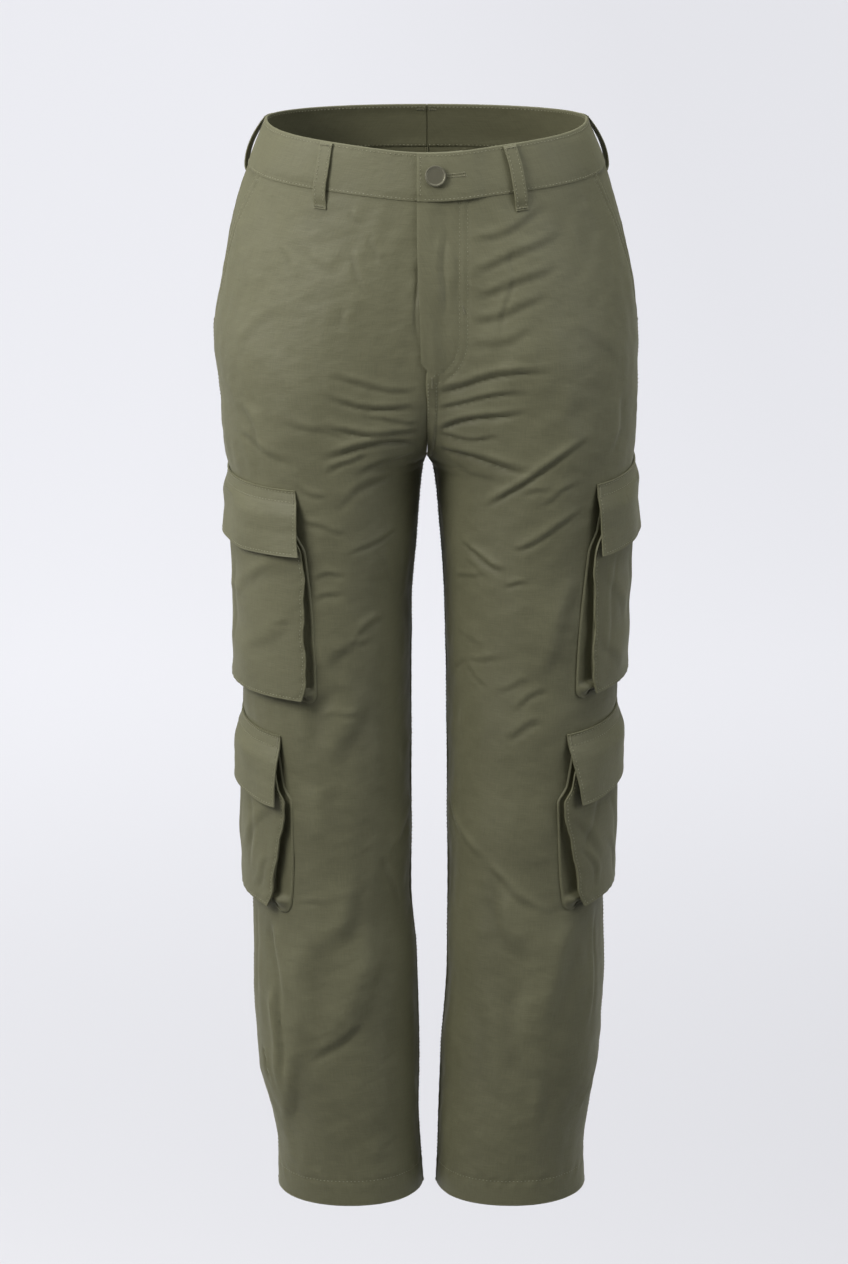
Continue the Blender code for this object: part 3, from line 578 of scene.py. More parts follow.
def woven_twill(name, base, deep, rubbed):
    """Piece-dyed cotton and nylon twill, calendered: matt, with a low sheen along the folds.

    Uneven yarns (slubs) run both ways and show as short streaks, real yarns are about 0.3 mm and
    are drawn here at 0.9 mm, and the twill line at 1.3 mm instead of 0.6 mm, to show at all. Dye
    takes unevenly over a hand's width, and edges are paler with wear. Painted light and shade follow
    the folds: fold tops are paler, a painted highlight, and fold bottoms and recesses are darker,
    painted shade, and one lit edge carries a painted highlight.
    """
    finish, tree, shader = new_material(name)
    place = add_node(tree, "UVMap", uv_map="cloth").outputs["UV"]

    def streaks(across, along, detail):
        scaled = add_node(tree, "Mapping", {"Scale": (1 / across, 1 / along, 1)}, {"Vector": place})
        noise = add_node(tree, "TexNoise", {"Scale": 1.0, "Detail": detail, "Roughness": 0.6},
                         {"Vector": scaled.outputs["Vector"]})
        return noise.outputs["Fac"]

    warp, weft = streaks(0.0009, 0.014, 2.0), streaks(0.016, 0.0009, 2.0)
    yarns = add_node(tree, "Math", {}, {0: warp, 1: weft}, operation="ADD").outputs["Value"]
    dye = streaks(0.075, 0.110, 3.0)
    line = add_node(tree, "Mapping", {"Rotation": (0, 0, math.radians(63))}, {"Vector": place})
    twill = add_node(tree, "TexWave", {"Scale": 1 / (0.0013 * 20), "Distortion": 0.6,
                                       "Detail": 1.0, "Detail Scale": 2.0},
                     {"Vector": line.outputs["Vector"]}, wave_type="BANDS").outputs["Fac"]

    taken = remap(tree, remap(tree, dye, 0.35, 0.65, 0.0, 1.0), 0.0, 1.0, 0.86, 1.0)
    ground = add_node(tree, "Mix", {"A": linear(deep), "B": linear(base)}, {"Factor": taken},
                      data_type="RGBA")
    # The attribute carries painted light and shade as well as wear: above 0.5 the colour goes towards the
    # paler colour, for edges with wear and painted highlights on fold tops and a lit edge; below 0.5 it
    # goes towards the deep colour, painted shade in fold bottoms and recesses.
    wear_and_painted_light = add_node(tree, "Attribute", attribute_name="wear_and_painted_light").outputs["Fac"]
    paler = remap(tree, wear_and_painted_light, 0.5, 1.0, 0.0, 0.40)
    darker = remap(tree, wear_and_painted_light, 0.0, 0.5, 0.4, 0.0)
    worn_and_lit = add_node(tree, "Mix", {"B": linear(rubbed)},
                    {"Factor": paler, "A": ground.outputs["Result"]}, data_type="RGBA")
    sunk = add_node(tree, "Mix", {"B": linear(deep)},
                    {"Factor": darker, "A": worn_and_lit.outputs["Result"]}, data_type="RGBA")
    shade = remap(tree, yarns, 0.7, 1.3, 0.90, 1.09)
    colour = add_node(tree, "HueSaturation", {}, {"Value": shade, "Color": sunk.outputs["Result"]})
    tree.links.new(colour.outputs["Color"], shader.inputs["Base Color"])

    tree.links.new(remap(tree, dye, 0.35, 0.65, 0.60, 0.70), shader.inputs["Roughness"])
    shader.inputs["IOR"].default_value = 1.46
    shader.inputs["Sheen Weight"].default_value = 0.22
    shader.inputs["Sheen Roughness"].default_value = 0.45
    shader.inputs["Sheen Tint"].default_value = linear("b9b89a")

    crinkle = streaks(0.011, 0.008, 4.0)
    soft = add_node(tree, "Bump", {"Strength": 0.5, "Distance": 0.0007}, {"Height": crinkle})
    fine = add_node(tree, "Bump", {"Strength": 0.35, "Distance": 0.00025},
                    {"Height": yarns, "Normal": soft.outputs["Normal"]})
    ribs = add_node(tree, "Bump", {"Strength": 0.18, "Distance": 0.0002},
                    {"Height": twill, "Normal": fine.outputs["Normal"]})
    tree.links.new(ribs.outputs["Normal"], shader.inputs["Normal"])
    return finish


TWILL = woven_twill("olive_woven_twill", OLIVE, OLIVE_DEEP, OLIVE_WORN_AND_LIT)


def grid_faces(rows, columns, wrap, flipped):
    """Faces of a grid of points, row by row."""
    steps = columns if wrap else columns - 1
    r, c = np.meshgrid(np.arange(rows - 1), np.arange(steps), indexing="ij")
    d = (c + 1) % columns
    quads = np.stack([r * columns + c, r * columns + d, (r + 1) * columns + d,
                      (r + 1) * columns + c], axis=-1).reshape(-1, 4)
    return quads[:, ::-1] if flipped else quads


def mesh_object(name, points, faces, places=None, wear_and_painted_light=None):
    """A mesh with its flat places on the cloth as a UV map in metres, and its attribute of wear and painted
    light and shade.
    """
    mesh = bpy.data.meshes.new(name)
    mesh.from_pydata(points.reshape(-1, 3).tolist(), [], [list(face) for face in faces])
    if places is not None:
        layer = mesh.uv_layers.new(name="cloth")
        corner = np.empty(len(mesh.loops), dtype=np.int64)
        mesh.loops.foreach_get("vertex_index", corner)
        layer.data.foreach_set("uv", places.reshape(-1, 2)[corner].ravel())
    wear = mesh.attributes.new("wear_and_painted_light", "FLOAT", "POINT")
    values = np.full(len(mesh.vertices), 0.5) if wear_and_painted_light is None else wear_and_painted_light.ravel()
    wear.data.foreach_set("value", values)
    mesh.materials.append(TWILL)
    piece = bpy.data.objects.new(name, mesh)
    bpy.context.collection.objects.link(piece)
    return piece


def only(piece):
    """Select one object and make it active."""
    bpy.ops.object.select_all(action="DESELECT")
    piece.select_set(True)
    bpy.context.view_layer.objects.active = piece


def thicken(piece, wall):
    """Give a surface its cloth's thickness, inwards, and shade it smooth but for its edges."""
    only(piece)
    solid = piece.modifiers.new("wall", "SOLIDIFY")
    solid.thickness = wall
    solid.offset = -1
    bpy.ops.object.modifier_apply(modifier=solid.name)
    bpy.ops.object.shade_smooth_by_angle(angle=math.radians(50))


def close_up(piece):
    """Turn a closed strip's faces outwards and shade it smooth but for its edges."""
    only(piece)
    bpy.ops.object.mode_set(mode="EDIT")
    bpy.ops.mesh.select_all(action="SELECT")
    bpy.ops.mesh.normals_make_consistent(inside=False)
    bpy.ops.object.mode_set(mode="OBJECT")
    bpy.ops.object.shade_smooth_by_angle(angle=math.radians(60))


def flat_area(places):
    """Area of a grid of flat places on the cloth, in square metres."""
    a, b = places[:-1, :-1], places[1:, :-1]
    c, d = places[1:, 1:], places[:-1, 1:]
    ac, bd = c - a, d - b
    return float(np.abs(ac[..., 0] * bd[..., 1] - ac[..., 1] * bd[..., 0]).sum() / 2)


def put_in(piece, node):
    """Put a finished piece in the model in place of its solid."""
    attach(piece, "root")
    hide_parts(node)


def sew_in(piece, node, places):
    """Put a finished cloth piece in the model; its flat size is worked out from its places, and not kept.
    """
    put_in(piece, node)
    flat_area(places)


def painted_fold_light(side, arc, z):
    """Painted light and shade on the folds: their tops paler, a painted highlight, and their bottoms
    darker, painted shade.
    """
    return np.clip(0.5 + crease_height(CREASE_ARCS[side], arc, z) / (5.0 * MM), 0.2, 0.8)


def run_shares(cells, dense_start=None, dense_end=None, length=0.15):
    """Shares of a run of mesh columns, closer together at an edge that shows."""
    shares = np.linspace(0, 1, cells + 1)
    if dense_start is not None:
        shares = np.concatenate([dense_start / length, shares[shares > dense_start[-1] / length + 0.01]])
    if dense_end is not None:
        kept = shares[shares < 1 - dense_end[-1] / length - 0.01]
        shares = np.concatenate([kept, 1 - (dense_end / length)[::-1]])
    return shares


def panel_rows():
    """Heights of the panels' rows."""
    top = -BAND_HEIGHT - SEAM_GAP
    runs = [(top, -0.190, 50), (-0.190, -0.420, 122), (-0.420, -0.720, 108), (-0.720, -0.943, 74),
            (-0.943, HEM_Z, 17)]
    return np.concatenate([np.linspace(a, b, n)[min(k, 1):] for k, (a, b, n) in enumerate(runs)])


def fly_lap(z):
    """How far the left front passes the centre at height z."""
    lap = FLY_LAP_LOW + (FLY_LAP - FLY_LAP_LOW) * smooth((z - FLY_END_Z) / 0.150)
    return lap * smooth((z - FRONT_CURVE_Z - 0.0005) / 0.008)


def panel_arcs(side, half, rows, start=0.0, lap=0.0):
    """Columns of a panel, row by row: arcs from its side edge to its inner edge."""
    split = arc_length(side, half, rows, "_split")
    end = arc_length(side, half, rows) + lap
    outer = start + (split - start) * run_shares(44, dense_start=MOUTH_CELLS)
    fly = np.arange(0, 0.042, 0.0016) if half == "front" else EDGE_CELLS
    inner = split + (end - split) * run_shares(46, dense_end=fly)[1:]
    return np.concatenate([outer, inner], axis=1)


def fly_rise(side, arc, z):
    """How far the left front lies off the right one beside the fly."""
    if side == RIGHT:
        return 0 * arc
    near_centre = 1 - (arc_length(side, "front", z) - arc) / FLY_RAMP
    return FLY_RISE * smooth((z - FLY_END_Z) / FLY_FADE + 1) * smooth(near_centre)


def mouth_lift(arc, z):
    """How far the front stands off the facing beside the pocket mouth, where it is turned under."""
    return MOUTH_LIFT * smooth(1 - (arc - mouth_arc(z)) / MOUTH_LIFT_REACH)


TURNING = 0.0016             # how far a seam's turning runs on past the seam line
TURNING_DROP = 0.0009
FOLD_REACH, FOLD_DROP = 0.0001, 0.0017   # the same where an edge is folded straight back
TUCK_UP = 0.0025             # how far the panels run up between the waistband's layers


def add_turnings(points, places, wear_and_painted_light, folded_first=0.0, folded_last=0.0):
    """Turn a panel's edges under: past the seam line where sewn, straight back where folded."""
    middle = points.mean(axis=1)

    def turned(edge, beside, folded):
        across = edge - beside
        across /= np.linalg.norm(across, axis=-1, keepdims=True)
        inward = np.cross(across, np.gradient(edge, axis=0))
        inward /= np.linalg.norm(inward, axis=-1, keepdims=True)
        inward *= np.sign(np.sum(inward * (middle - edge), axis=-1, keepdims=True))
        reach = TURNING * (1 - folded) + FOLD_REACH * folded
        return edge + across * reach + inward * (TURNING_DROP * (1 - folded) + FOLD_DROP * folded)

    left = turned(points[:, 0], points[:, 1], folded_first)
    right = turned(points[:, -1], points[:, -2], folded_last)
    points = np.concatenate([left[:, None], points, right[:, None]], axis=1)
    step = np.array([TURNING, 0.0])
    step = step * np.sign(places[:, -1:, :1] - places[:, :1, :1])
    places = np.concatenate([places[:, :1] - step, places, places[:, -1:] + step], axis=1)
    wear_and_painted_light = np.concatenate([wear_and_painted_light[:, :1], wear_and_painted_light, wear_and_painted_light[:, -1:]], axis=1)
    return points, places, wear_and_painted_light


def add_tuck(points, places, wear_and_painted_light):
    """A row above a panel's top edge, which lies between the waistband's layers."""
    up = np.array([0.0, 0.0, TUCK_UP])
    points = np.concatenate([points[:1] + up, points])
    places = np.concatenate([places[:1] + np.array([0.0, TUCK_UP]), places])
    return points, places, np.concatenate([wear_and_painted_light[:1], wear_and_painted_light])


for side, name in ((RIGHT, "right"), (LEFT, "left")):
    rows = panel_rows()[:, None]
    trim = SEAM_GAP / 2
    lap = fly_lap(rows) if side == LEFT else 0 * rows
    arcs = panel_arcs(side, "front", rows, mouth_arc(rows) + trim, lap - trim)
    out = fly_rise(side, arcs, rows)
    pocket_edge = smooth((rows - POCKET_MOUTH_Z) / 0.010)
    out = out + mouth_lift(arcs, rows) * pocket_edge
    points = cloth(side, arcs, rows, out)
    places = np.stack([arcs, rows + 0 * arcs], axis=-1)
    wear_and_painted_light = painted_fold_light(side, arcs, rows)
    edge = 0.28 * pocket_edge * np.exp(-((arcs - mouth_arc(rows)) / 0.0016) ** 2)
    if side == LEFT:
        above = smooth((rows - FLY_END_Z) / 0.010)
        edge = edge + 0.4 * above * np.exp(-((arcs[:, -1:] - arcs) / 0.0016) ** 2)
    wear_and_painted_light = np.clip(wear_and_painted_light + edge, 0, 1)
    fly_edge = smooth((rows - FLY_END_Z) / 0.010) * (side == LEFT)
    points, places, wear_and_painted_light = add_turnings(points, places, wear_and_painted_light, pocket_edge, fly_edge)
    points, places, wear_and_painted_light = add_tuck(points, places, wear_and_painted_light)
    faces = grid_faces(*wear_and_painted_light.shape, wrap=False, flipped=side == RIGHT)
    front = mesh_object("front_" + name + "_cloth", points, faces, places, wear_and_painted_light)
    thicken(front, CLOTH_WALL)
    sew_in(front, "front_" + name, places)

    arcs = -panel_arcs(side, "back", rows, trim, -trim)
    points = cloth(side, arcs, rows)
    places = np.stack([arcs, rows + 0 * arcs], axis=-1)
    wear_and_painted_light = painted_fold_light(side, arcs, rows)
    points, places, wear_and_painted_light = add_tuck(*add_turnings(points, places, wear_and_painted_light))
    faces = grid_faces(*wear_and_painted_light.shape, wrap=False, flipped=side == LEFT)
    back = mesh_object("back_" + name + "_cloth", points, faces, places, wear_and_painted_light)
    thicken(back, CLOTH_WALL)
    sew_in(back, "back_" + name, places)

# ---- Hip pocket facings --------------------------------------------------------------------------
# The wedge of the same cloth that shows behind each slanted pocket mouth, sewn in at the side seam
# and the waist. It lies a little deeper than the front's turned edge.
FACING_DROP = 0.0011
FACING_TUCK = 0.009          # how far it runs on behind the front's edge
FACING_OVERLAP_Z = 0.012

for side, name in ((RIGHT, "right"), (LEFT, "left")):
    rows = panel_rows()
    rows = rows[rows > POCKET_MOUTH_Z + FACING_OVERLAP_Z][:, None]
    share = np.linspace(0, 1, 17)[None, :]
    arcs = SEAM_GAP / 2 + (mouth_arc(rows) + FACING_TUCK) * share
    drop = -FACING_DROP * smooth(arcs / 0.006) - 0.0006 * smooth(1 - (mouth_arc(rows) - arcs) / 0.004)
    points = cloth(side, arcs, rows, drop)
    places = np.stack([arcs, rows + 0 * arcs], axis=-1)
    # Painted shade: the facing, set back behind the mouth, is coloured a step darker on top of its painted
    # fold light and shade.
    wear_and_painted_light = painted_fold_light(side, arcs, rows) - 0.08
    points, places, wear_and_painted_light = add_tuck(points, places, wear_and_painted_light)
    faces = grid_faces(*wear_and_painted_light.shape, wrap=False, flipped=side == RIGHT)
    facing = mesh_object("hip_pocket_facing_" + name + "_cloth", points, faces, places, wear_and_painted_light)
    thicken(facing, CLOTH_WALL)
    sew_in(facing, "hip_pocket_facing_" + name, places)

# ---- Waistband -----------------------------------------------------------------------------------
# Two layers of the same cloth over interlining, turned in along both edges and topstitched. The
# halves meet at the centre back, and the left end laps over the right one under the button.
BAND_PROUD, BAND_WALL = 0.0008, 0.0024
BAND_LAP_RISE = BAND_WALL + SEAM_GAP
BAND_LAP_SPARE, BAND_RAMP = 0.003, 0.022
BAND_EDGE = 0.0012           # radius of the turned edges
BAND_STITCH = 0.0028         # stitching in from each edge
BAND_FACE_ROWS = 20          # rows of the mesh up each face


def band_profile():
    """Once round the band's cross-section: heights and distances out from its outer face."""
    span = np.linspace(-BAND_HEIGHT + BAND_EDGE, -BAND_EDGE, BAND_FACE_ROWS)
    turn = np.linspace(0, math.pi, 7)[1:-1]
    top = [(-BAND_EDGE + BAND_EDGE * math.sin(t), BAND_EDGE * (math.cos(t) - 1)) for t in turn]
    low = [(-BAND_HEIGHT + BAND_EDGE - BAND_EDGE * math.sin(t), -BAND_EDGE * (math.cos(t) + 1))
           for t in turn]
    outer = [(z, 0.0) for z in span]
    inner = [(z, -BAND_WALL) for z in span[::-1]]
    return np.array(outer + top + inner + low)


def band_columns(side):
    """Arcs at the waist seam from the centre back round to the front end."""
    low = -BAND_HEIGHT
    front, back = arc_length(side, "front", low), arc_length(side, "back", low)
    end = front + (FLY_LAP if side == LEFT else BAND_UNDERLAP)
    count = int((end + back) / CELL)
    near_end = end - np.array([0.0030, 0.0020, 0.0012, 0.0005, 0.0])
    body = np.linspace(-back + SEAM_GAP / 2, end - 0.0045, count)
    return np.concatenate([body, near_end])


def band_arc(side, columns, z):
    """The arcs that those columns have at height z."""
    front, back = (arc_length(side, half, -BAND_HEIGHT) for half in ("front", "back"))
    front_here, back_here = arc_length(side, "front", z), arc_length(side, "back", z)
    row = np.where(columns >= 0, columns * front_here / front, columns * back_here / back)
    return np.where(columns > front, columns - front + front_here, row)


def band_out(side, arcs, z):
    """The band's outer face: proud of the cloth, puffed between its stitching, lapped in front."""
    out = BAND_PROUD + 0 * arcs
    from_edge = np.minimum(-z, z + BAND_HEIGHT)
    puff = 0.30 * MM * smooth((from_edge - BAND_STITCH) / 0.008)
    groove = 0.30 * MM * np.exp(-((from_edge - BAND_STITCH) / 0.0014) ** 2)
    pucker = 0.14 * MM * np.exp(-((from_edge - BAND_STITCH) / 0.005) ** 2)
    pucker = pucker * np.sin(arcs / 0.0014 + 2 * np.sin(arcs / 0.013) + 60 * z)
    waves = 0.6 * wave_height(LOOSE_WAVES, arcs + side, z) * smooth(from_edge / 0.010)
    out = out + puff - groove + pucker + waves
    if side == LEFT:
        lapped = arc_length(side, "front", z) - BAND_UNDERLAP - BAND_LAP_SPARE
        out = out + BAND_LAP_RISE * smooth(1 - (lapped - arcs) / BAND_RAMP)
    return out


for side, name in ((RIGHT, "right"), (LEFT, "left")):
    profile = band_profile()
    columns = band_columns(side)
    heights = profile[:, :1] + 0 * columns[None, :]
    arcs = band_arc(side, columns[None, :], heights)
    out = band_out(side, arcs, heights) + profile[:, 1:]
    points = cloth(side, arcs, heights, out, lie=False)
    places = np.stack([arcs, heights], axis=-1)
    along_edge = np.exp(-((np.minimum(-heights, heights + BAND_HEIGHT)) / 0.0014) ** 2)
    wear_and_painted_light = 0.5 + 0.28 * along_edge
    # A painted highlight: the lapped end's turned edge, which faces the light, is coloured much paler.
    if side == LEFT:
        wear_and_painted_light[:, -3:] = 0.95
    quads = grid_faces(len(profile), len(columns), wrap=False, flipped=False)
    last = (len(profile) - 1) * len(columns)
    joins = [(last + c, last + c + 1, c + 1, c) for c in range(len(columns) - 1)]
    rings = [[r * len(columns) + c for r in range(len(profile))] for c in (0, len(columns) - 1)]
    faces = quads.tolist() + joins
    half = len(profile) // 2
    for ring in rings:
        faces += [(ring[k], ring[k + 1], ring[-k - 2], ring[-k - 1]) for k in range(half - 1)]
    band = mesh_object("waistband_" + name + "_cloth", points, faces, places, wear_and_painted_light)
    close_up(band)
    sew_in(band, "waistband_" + name, places[:BAND_FACE_ROWS])

# ---- Topstitching thread -------------------------------------------------------------------------
# Corespun polyester thread, a shade lighter than the cloth. Each stitch is a short bead that sinks
# into the cloth at both ends. Real stitches are 0.35 mm thick and are drawn at 0.85 mm, to show.
STITCH_PITCH, STITCH_LENGTH = 0.0035, 0.0021
THREAD_WIDTH, THREAD_HEIGHT = 0.00085, 0.00050
THREAD_HEX = "7c7a60"


def spun_thread(name, hex_colour):
    """Spun polyester: satin, with the ply's twist too fine to see."""
    finish, tree, shader = new_material(name)
    place = add_node(tree, "TexCoord").outputs["Object"]
    noise = add_node(tree, "TexNoise", {"Scale": 900.0, "Detail": 1.0}, {"Vector": place})
    shade = remap(tree, noise.outputs["Fac"], 0.0, 1.0, 0.85, 1.12)
    colour = add_node(tree, "HueSaturation", {"Color": linear(hex_colour)}, {"Value": shade})
    tree.links.new(colour.outputs["Color"], shader.inputs["Base Color"])
    shader.inputs["Roughness"].default_value = 0.5
    shader.inputs["Sheen Weight"].default_value = 0.15
    return finish


THREAD = spun_thread("spun_polyester_thread", THREAD_HEX)


def stitch_beads(starts, ends, normals, width, height):
    """Beads from starts to ends on a surface: twelve triangles each."""
    along = ends - starts
    sideways = np.cross(along, normals)
    sideways *= (width / 2) / np.linalg.norm(sideways, axis=-1, keepdims=True)
    sunk = normals * (-0.0003)
    points = [starts + sunk]
    for share in (0.25, 0.75):
        at = starts + along * share
        points += [at - sideways - normals * 0.0001, at + normals * height,
                   at + sideways - normals * 0.0001]
    points.append(ends + sunk)
    faces = [(0, 1, 2), (0, 2, 3), (0, 3, 1), (1, 4, 5, 2), (2, 5, 6, 3), (3, 6, 4, 1),
             (7, 5, 4), (7, 6, 5), (7, 4, 6)]
    return np.stack(points, axis=1), faces


class Seamstress:
    """Collects the stitches of one group of seams and makes them one joined piece."""

    def __init__(self, name):
        self.name, self.points, self.faces, self.count = name, [], [], 0

    def add(self, starts, ends, normals, width=THREAD_WIDTH, height=THREAD_HEIGHT):
        points, faces = stitch_beads(starts, ends, normals, width, height)
        for k in range(len(points)):
            self.faces += [tuple(self.count + 8 * k + v for v in face) for face in faces]
        self.points.append(points.reshape(-1, 3))
        self.count += 8 * len(points)

    def line(self, surface, a, b, pitch=STITCH_PITCH, length=STITCH_LENGTH):
        """A row of stitches along a path of places a, b on a surface."""
        t = np.linspace(0, len(a) - 1, 900)
        a, b = np.interp(t, np.arange(len(a)), a), np.interp(t, np.arange(len(b)), b)
        low, high = surface(a, b, 0.0), surface(a, b, 0.001)
        far = np.concatenate([[0], np.cumsum(np.linalg.norm(np.diff(low, axis=0), axis=-1))])
        begin = np.arange(0.0005, far[-1] - length, pitch)
        starts = np.stack([np.interp(begin, far, low[:, k]) for k in range(3)], axis=-1)
        ends = np.stack([np.interp(begin + length, far, low[:, k]) for k in range(3)], axis=-1)
        tips = np.stack([np.interp(begin, far, high[:, k]) for k in range(3)], axis=-1)
        normals = tips - starts
        normals /= np.linalg.norm(normals, axis=-1, keepdims=True)
        self.add(starts, ends, normals)

    def bartack(self, surface, a0, b0, a1, b1, half_width=0.0011, gap=0.0006):
        """A dense zigzag of short stitches across a line from a0, b0 to a1, b1."""
        reach = math.hypot(a1 - a0, b1 - b0)
        count = max(int(reach / gap), 2)
        share = np.linspace(0, 1, count)
        across = np.array([-(b1 - b0), a1 - a0]) / reach * half_width
        a, b = a0 + (a1 - a0) * share, b0 + (b1 - b0) * share
        starts = surface(a - across[0], b - across[1], 0.0)
        ends = surface(a + across[0], b + across[1], 0.0)
        normals = surface(a, b, 0.001) - surface(a, b, 0.0)
        normals /= np.linalg.norm(normals, axis=-1, keepdims=True)
        self.add(starts, ends, normals, width=0.0006, height=0.00045)

    def finish(self):
        """Join the stitches into one mesh and put it in the model."""
        mesh = bpy.data.meshes.new(self.name)
        mesh.from_pydata(np.concatenate(self.points).tolist(), [], self.faces)
        mesh.materials.append(THREAD)
        piece = bpy.data.objects.new(self.name, mesh)
        bpy.context.collection.objects.link(piece)
        only(piece)
        bpy.ops.object.shade_smooth()
        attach(piece, "root")


def band_surface(side):
    """Places on a waistband half's outer face: arcs and heights."""
    return lambda a, z, lift: cloth(side, a, z, band_out(side, a, z) + lift, lie=False)


def band_lining(side):
    """Places on the band's inner face, with lift towards the inside."""
    return lambda a, z, lift: cloth(side, a, z, band_out(side, a, z) - BAND_WALL - lift, lie=False)


def leg_surface(side):
    """Places on the leg's cloth: arcs and heights."""
    return lambda a, z, lift: cloth(side, a, z, fly_rise(side, a, z) + lift)


band_seams = Seamstress("waistband_stitching")
for side in (RIGHT, LEFT):
    columns = band_columns(side)
    start, end = columns[0] + 0.001, columns[-1] - (0.003 if side == LEFT else 0.0)
    for z in (-BAND_STITCH, -BAND_HEIGHT + BAND_STITCH - 0.0006):
        run = band_arc(side, np.linspace(start, end, 300), z)
        band_seams.line(band_surface(side), run, np.full(300, z))
        stop = np.linspace(start, 0.6 * end, 300)
        band_seams.line(band_lining(side), band_arc(side, stop, z), np.full(300, z))
    if side == LEFT:
        z = np.linspace(-BAND_STITCH, -BAND_HEIGHT + BAND_STITCH, 40)
        band_seams.line(band_surface(side), band_arc(side, np.full(40, end), z), z)
centre_back = -float(arc_length(LEFT, "back", -0.003)) + 0.0005
band_seams.bartack(band_lining(LEFT), centre_back, -0.0052, centre_back + 0.006, -0.0052)
band_seams.bartack(band_lining(RIGHT), centre_back, -0.0052, centre_back + 0.006, -0.0052)
band_seams.finish()

# ---- Belt loops ----------------------------------------------------------------------------------
# Folded strips of the same cloth with a row of stitching along both edges, caught in the band's
# top edge and tacked down below it, so they stand off the band in between.
LOOP_WIDTH, LOOP_LENGTH, LOOP_WALL = 0.0115, 0.054, 0.0016
REST_GAP = 0.0006
Loop = namedtuple("Loop", "name side arc_top arc_bottom arch")
LOOPS = [
    Loop("belt_loop_front_right", RIGHT, 0.105, 0.124, 0.0023),
    Loop("belt_loop_front_left", LEFT, 0.120, 0.135, 0.0023),
    Loop("belt_loop_side_right", RIGHT, -0.030, -0.030, 0.0062),
    Loop("belt_loop_side_left", LEFT, -0.030, -0.030, 0.0062),
    Loop("belt_loop_centre_back", LEFT, -float(arc_length(LEFT, "back", 0.0)),
         -float(arc_length(LEFT, "back", -LOOP_LENGTH)), 0.0032),
]
LOOP_CORNER = 0.32           # power of the strip's rounded section: nearer 0 is squarer


def loop_surface(loop):
    """Places on a belt loop: share of its length and distance across."""
    def surface(down, across, lift):
        arcs = loop.arc_top + (loop.arc_bottom - loop.arc_top) * down + across
        heights = -0.0008 - LOOP_LENGTH * down
        out = BAND_PROUD + REST_GAP - BAND_PROUD * smooth((down - 0.80) / 0.15)
        out = out + loop.arch * np.sin(math.pi * np.clip(down / 0.92, 0, 1)) ** 0.6
        edge = 0.25 * MM * np.exp(-((np.abs(across) - 0.0036) / 0.0008) ** 2)
        sway = 0.35 * MM * np.sin(9 * down + 700 * loop.arc_top)
        return cloth(loop.side, arcs + sway, heights, out + LOOP_WALL - edge + lift, lie=False)
    return surface


for loop in LOOPS:
    down = np.linspace(0, 1, 46)[:, None]
    angle = np.linspace(0, 2 * math.pi, 25)[None, :-1]
    across = 0.5 * LOOP_WIDTH * np.sign(np.cos(angle)) * np.abs(np.cos(angle)) ** LOOP_CORNER
    layer = np.sign(np.sin(angle)) * np.abs(np.sin(angle)) ** 0.5
    points = loop_surface(loop)(down, across + 0 * down, (layer - 1) * 0.5 * LOOP_WALL + 0 * down)
    places = np.stack([across + 0 * down, -LOOP_LENGTH * down + 0 * across], axis=-1)
    wear_and_painted_light = 0.5 + 0.3 * np.exp(-((np.abs(across) - 0.5 * LOOP_WIDTH) / 0.001) ** 2) + 0 * down
    faces = grid_faces(46, 24, wrap=True, flipped=False).tolist()
    faces += [list(range(24)), list(range(45 * 24, 46 * 24))]
    strip = mesh_object(loop.name + "_strip", points, faces, places, wear_and_painted_light)
    close_up(strip)
    put_in(strip, loop.name)

loop_seams = Seamstress("belt_loop_stitching")
for loop in LOOPS:
    for across in (-0.0036, 0.0036):
        loop_seams.line(loop_surface(loop), np.linspace(0.03, 0.97, 50), np.full(50, across))
    for down in (0.035, 0.965):
        loop_seams.bartack(loop_surface(loop), down, -0.0046, down, 0.0046, half_width=0.016)
loop_seams.finish()

# ---- Fly, centre seams and hip pocket stitching --------------------------------------------------
# A curved double row holds the fly facing to the wearer's left front, with a bartack at its foot
# and another halfway. The centre seam below is felled, and so are the inseams.
fly_seams = Seamstress("fly_stitching")


def fly_line(distance, foot_z):
    """Distance from the centre and height along one of the fly's curved rows."""
    straight = np.linspace(-BAND_HEIGHT - 0.001, FLY_TURN_Z, 60)
    turn = np.linspace(0, math.pi / 2, 40)[1:]
    curve_z = FLY_TURN_Z + (foot_z - FLY_TURN_Z) * np.sin(turn)
    bend = FLY_FOOT_OUT + (distance - FLY_FOOT_OUT) * np.cos(turn)
    from_centre = np.concatenate([distance + 0 * straight, bend])
    return from_centre, np.concatenate([straight, curve_z])


for distance, foot_z in FLY_FEET.items():
    away, z = fly_line(distance, foot_z)
    fly_seams.line(leg_surface(LEFT), arc_length(LEFT, "front", z) - away, z)
for tack_z, from_centre, foot in ((-0.146, 0.031, 0.004), (-0.214, 0.0045, 0.005)):
    tack = float(arc_length(LEFT, "front", tack_z)) - from_centre
    fly_seams.bartack(leg_surface(LEFT), tack, tack_z + 0.004, tack, tack_z - foot)
FELLED_ROWS = (0.0012, 0.0078)     # a felled seam's two rows, in from the seam line
z = np.linspace(FLY_END_Z - 0.002, CROTCH_Z + 0.004, 90)
for away in FELLED_ROWS:
    fly_seams.line(leg_surface(LEFT), arc_length(LEFT, "front", z) - away, z)
z = np.linspace(-BAND_HEIGHT - 0.001, CROTCH_Z + 0.004, 160)
for away in FELLED_ROWS:
    fly_seams.line(leg_surface(LEFT), -arc_length(LEFT, "back", z) + away, z)
fly_seams.finish()


def mouth_surface(side):
    """Places on the leg's cloth beside the pocket mouth, where it stands off the facing."""
    surface = leg_surface(side)
    return lambda a, z, lift: surface(a, z, lift + mouth_lift(a, z))


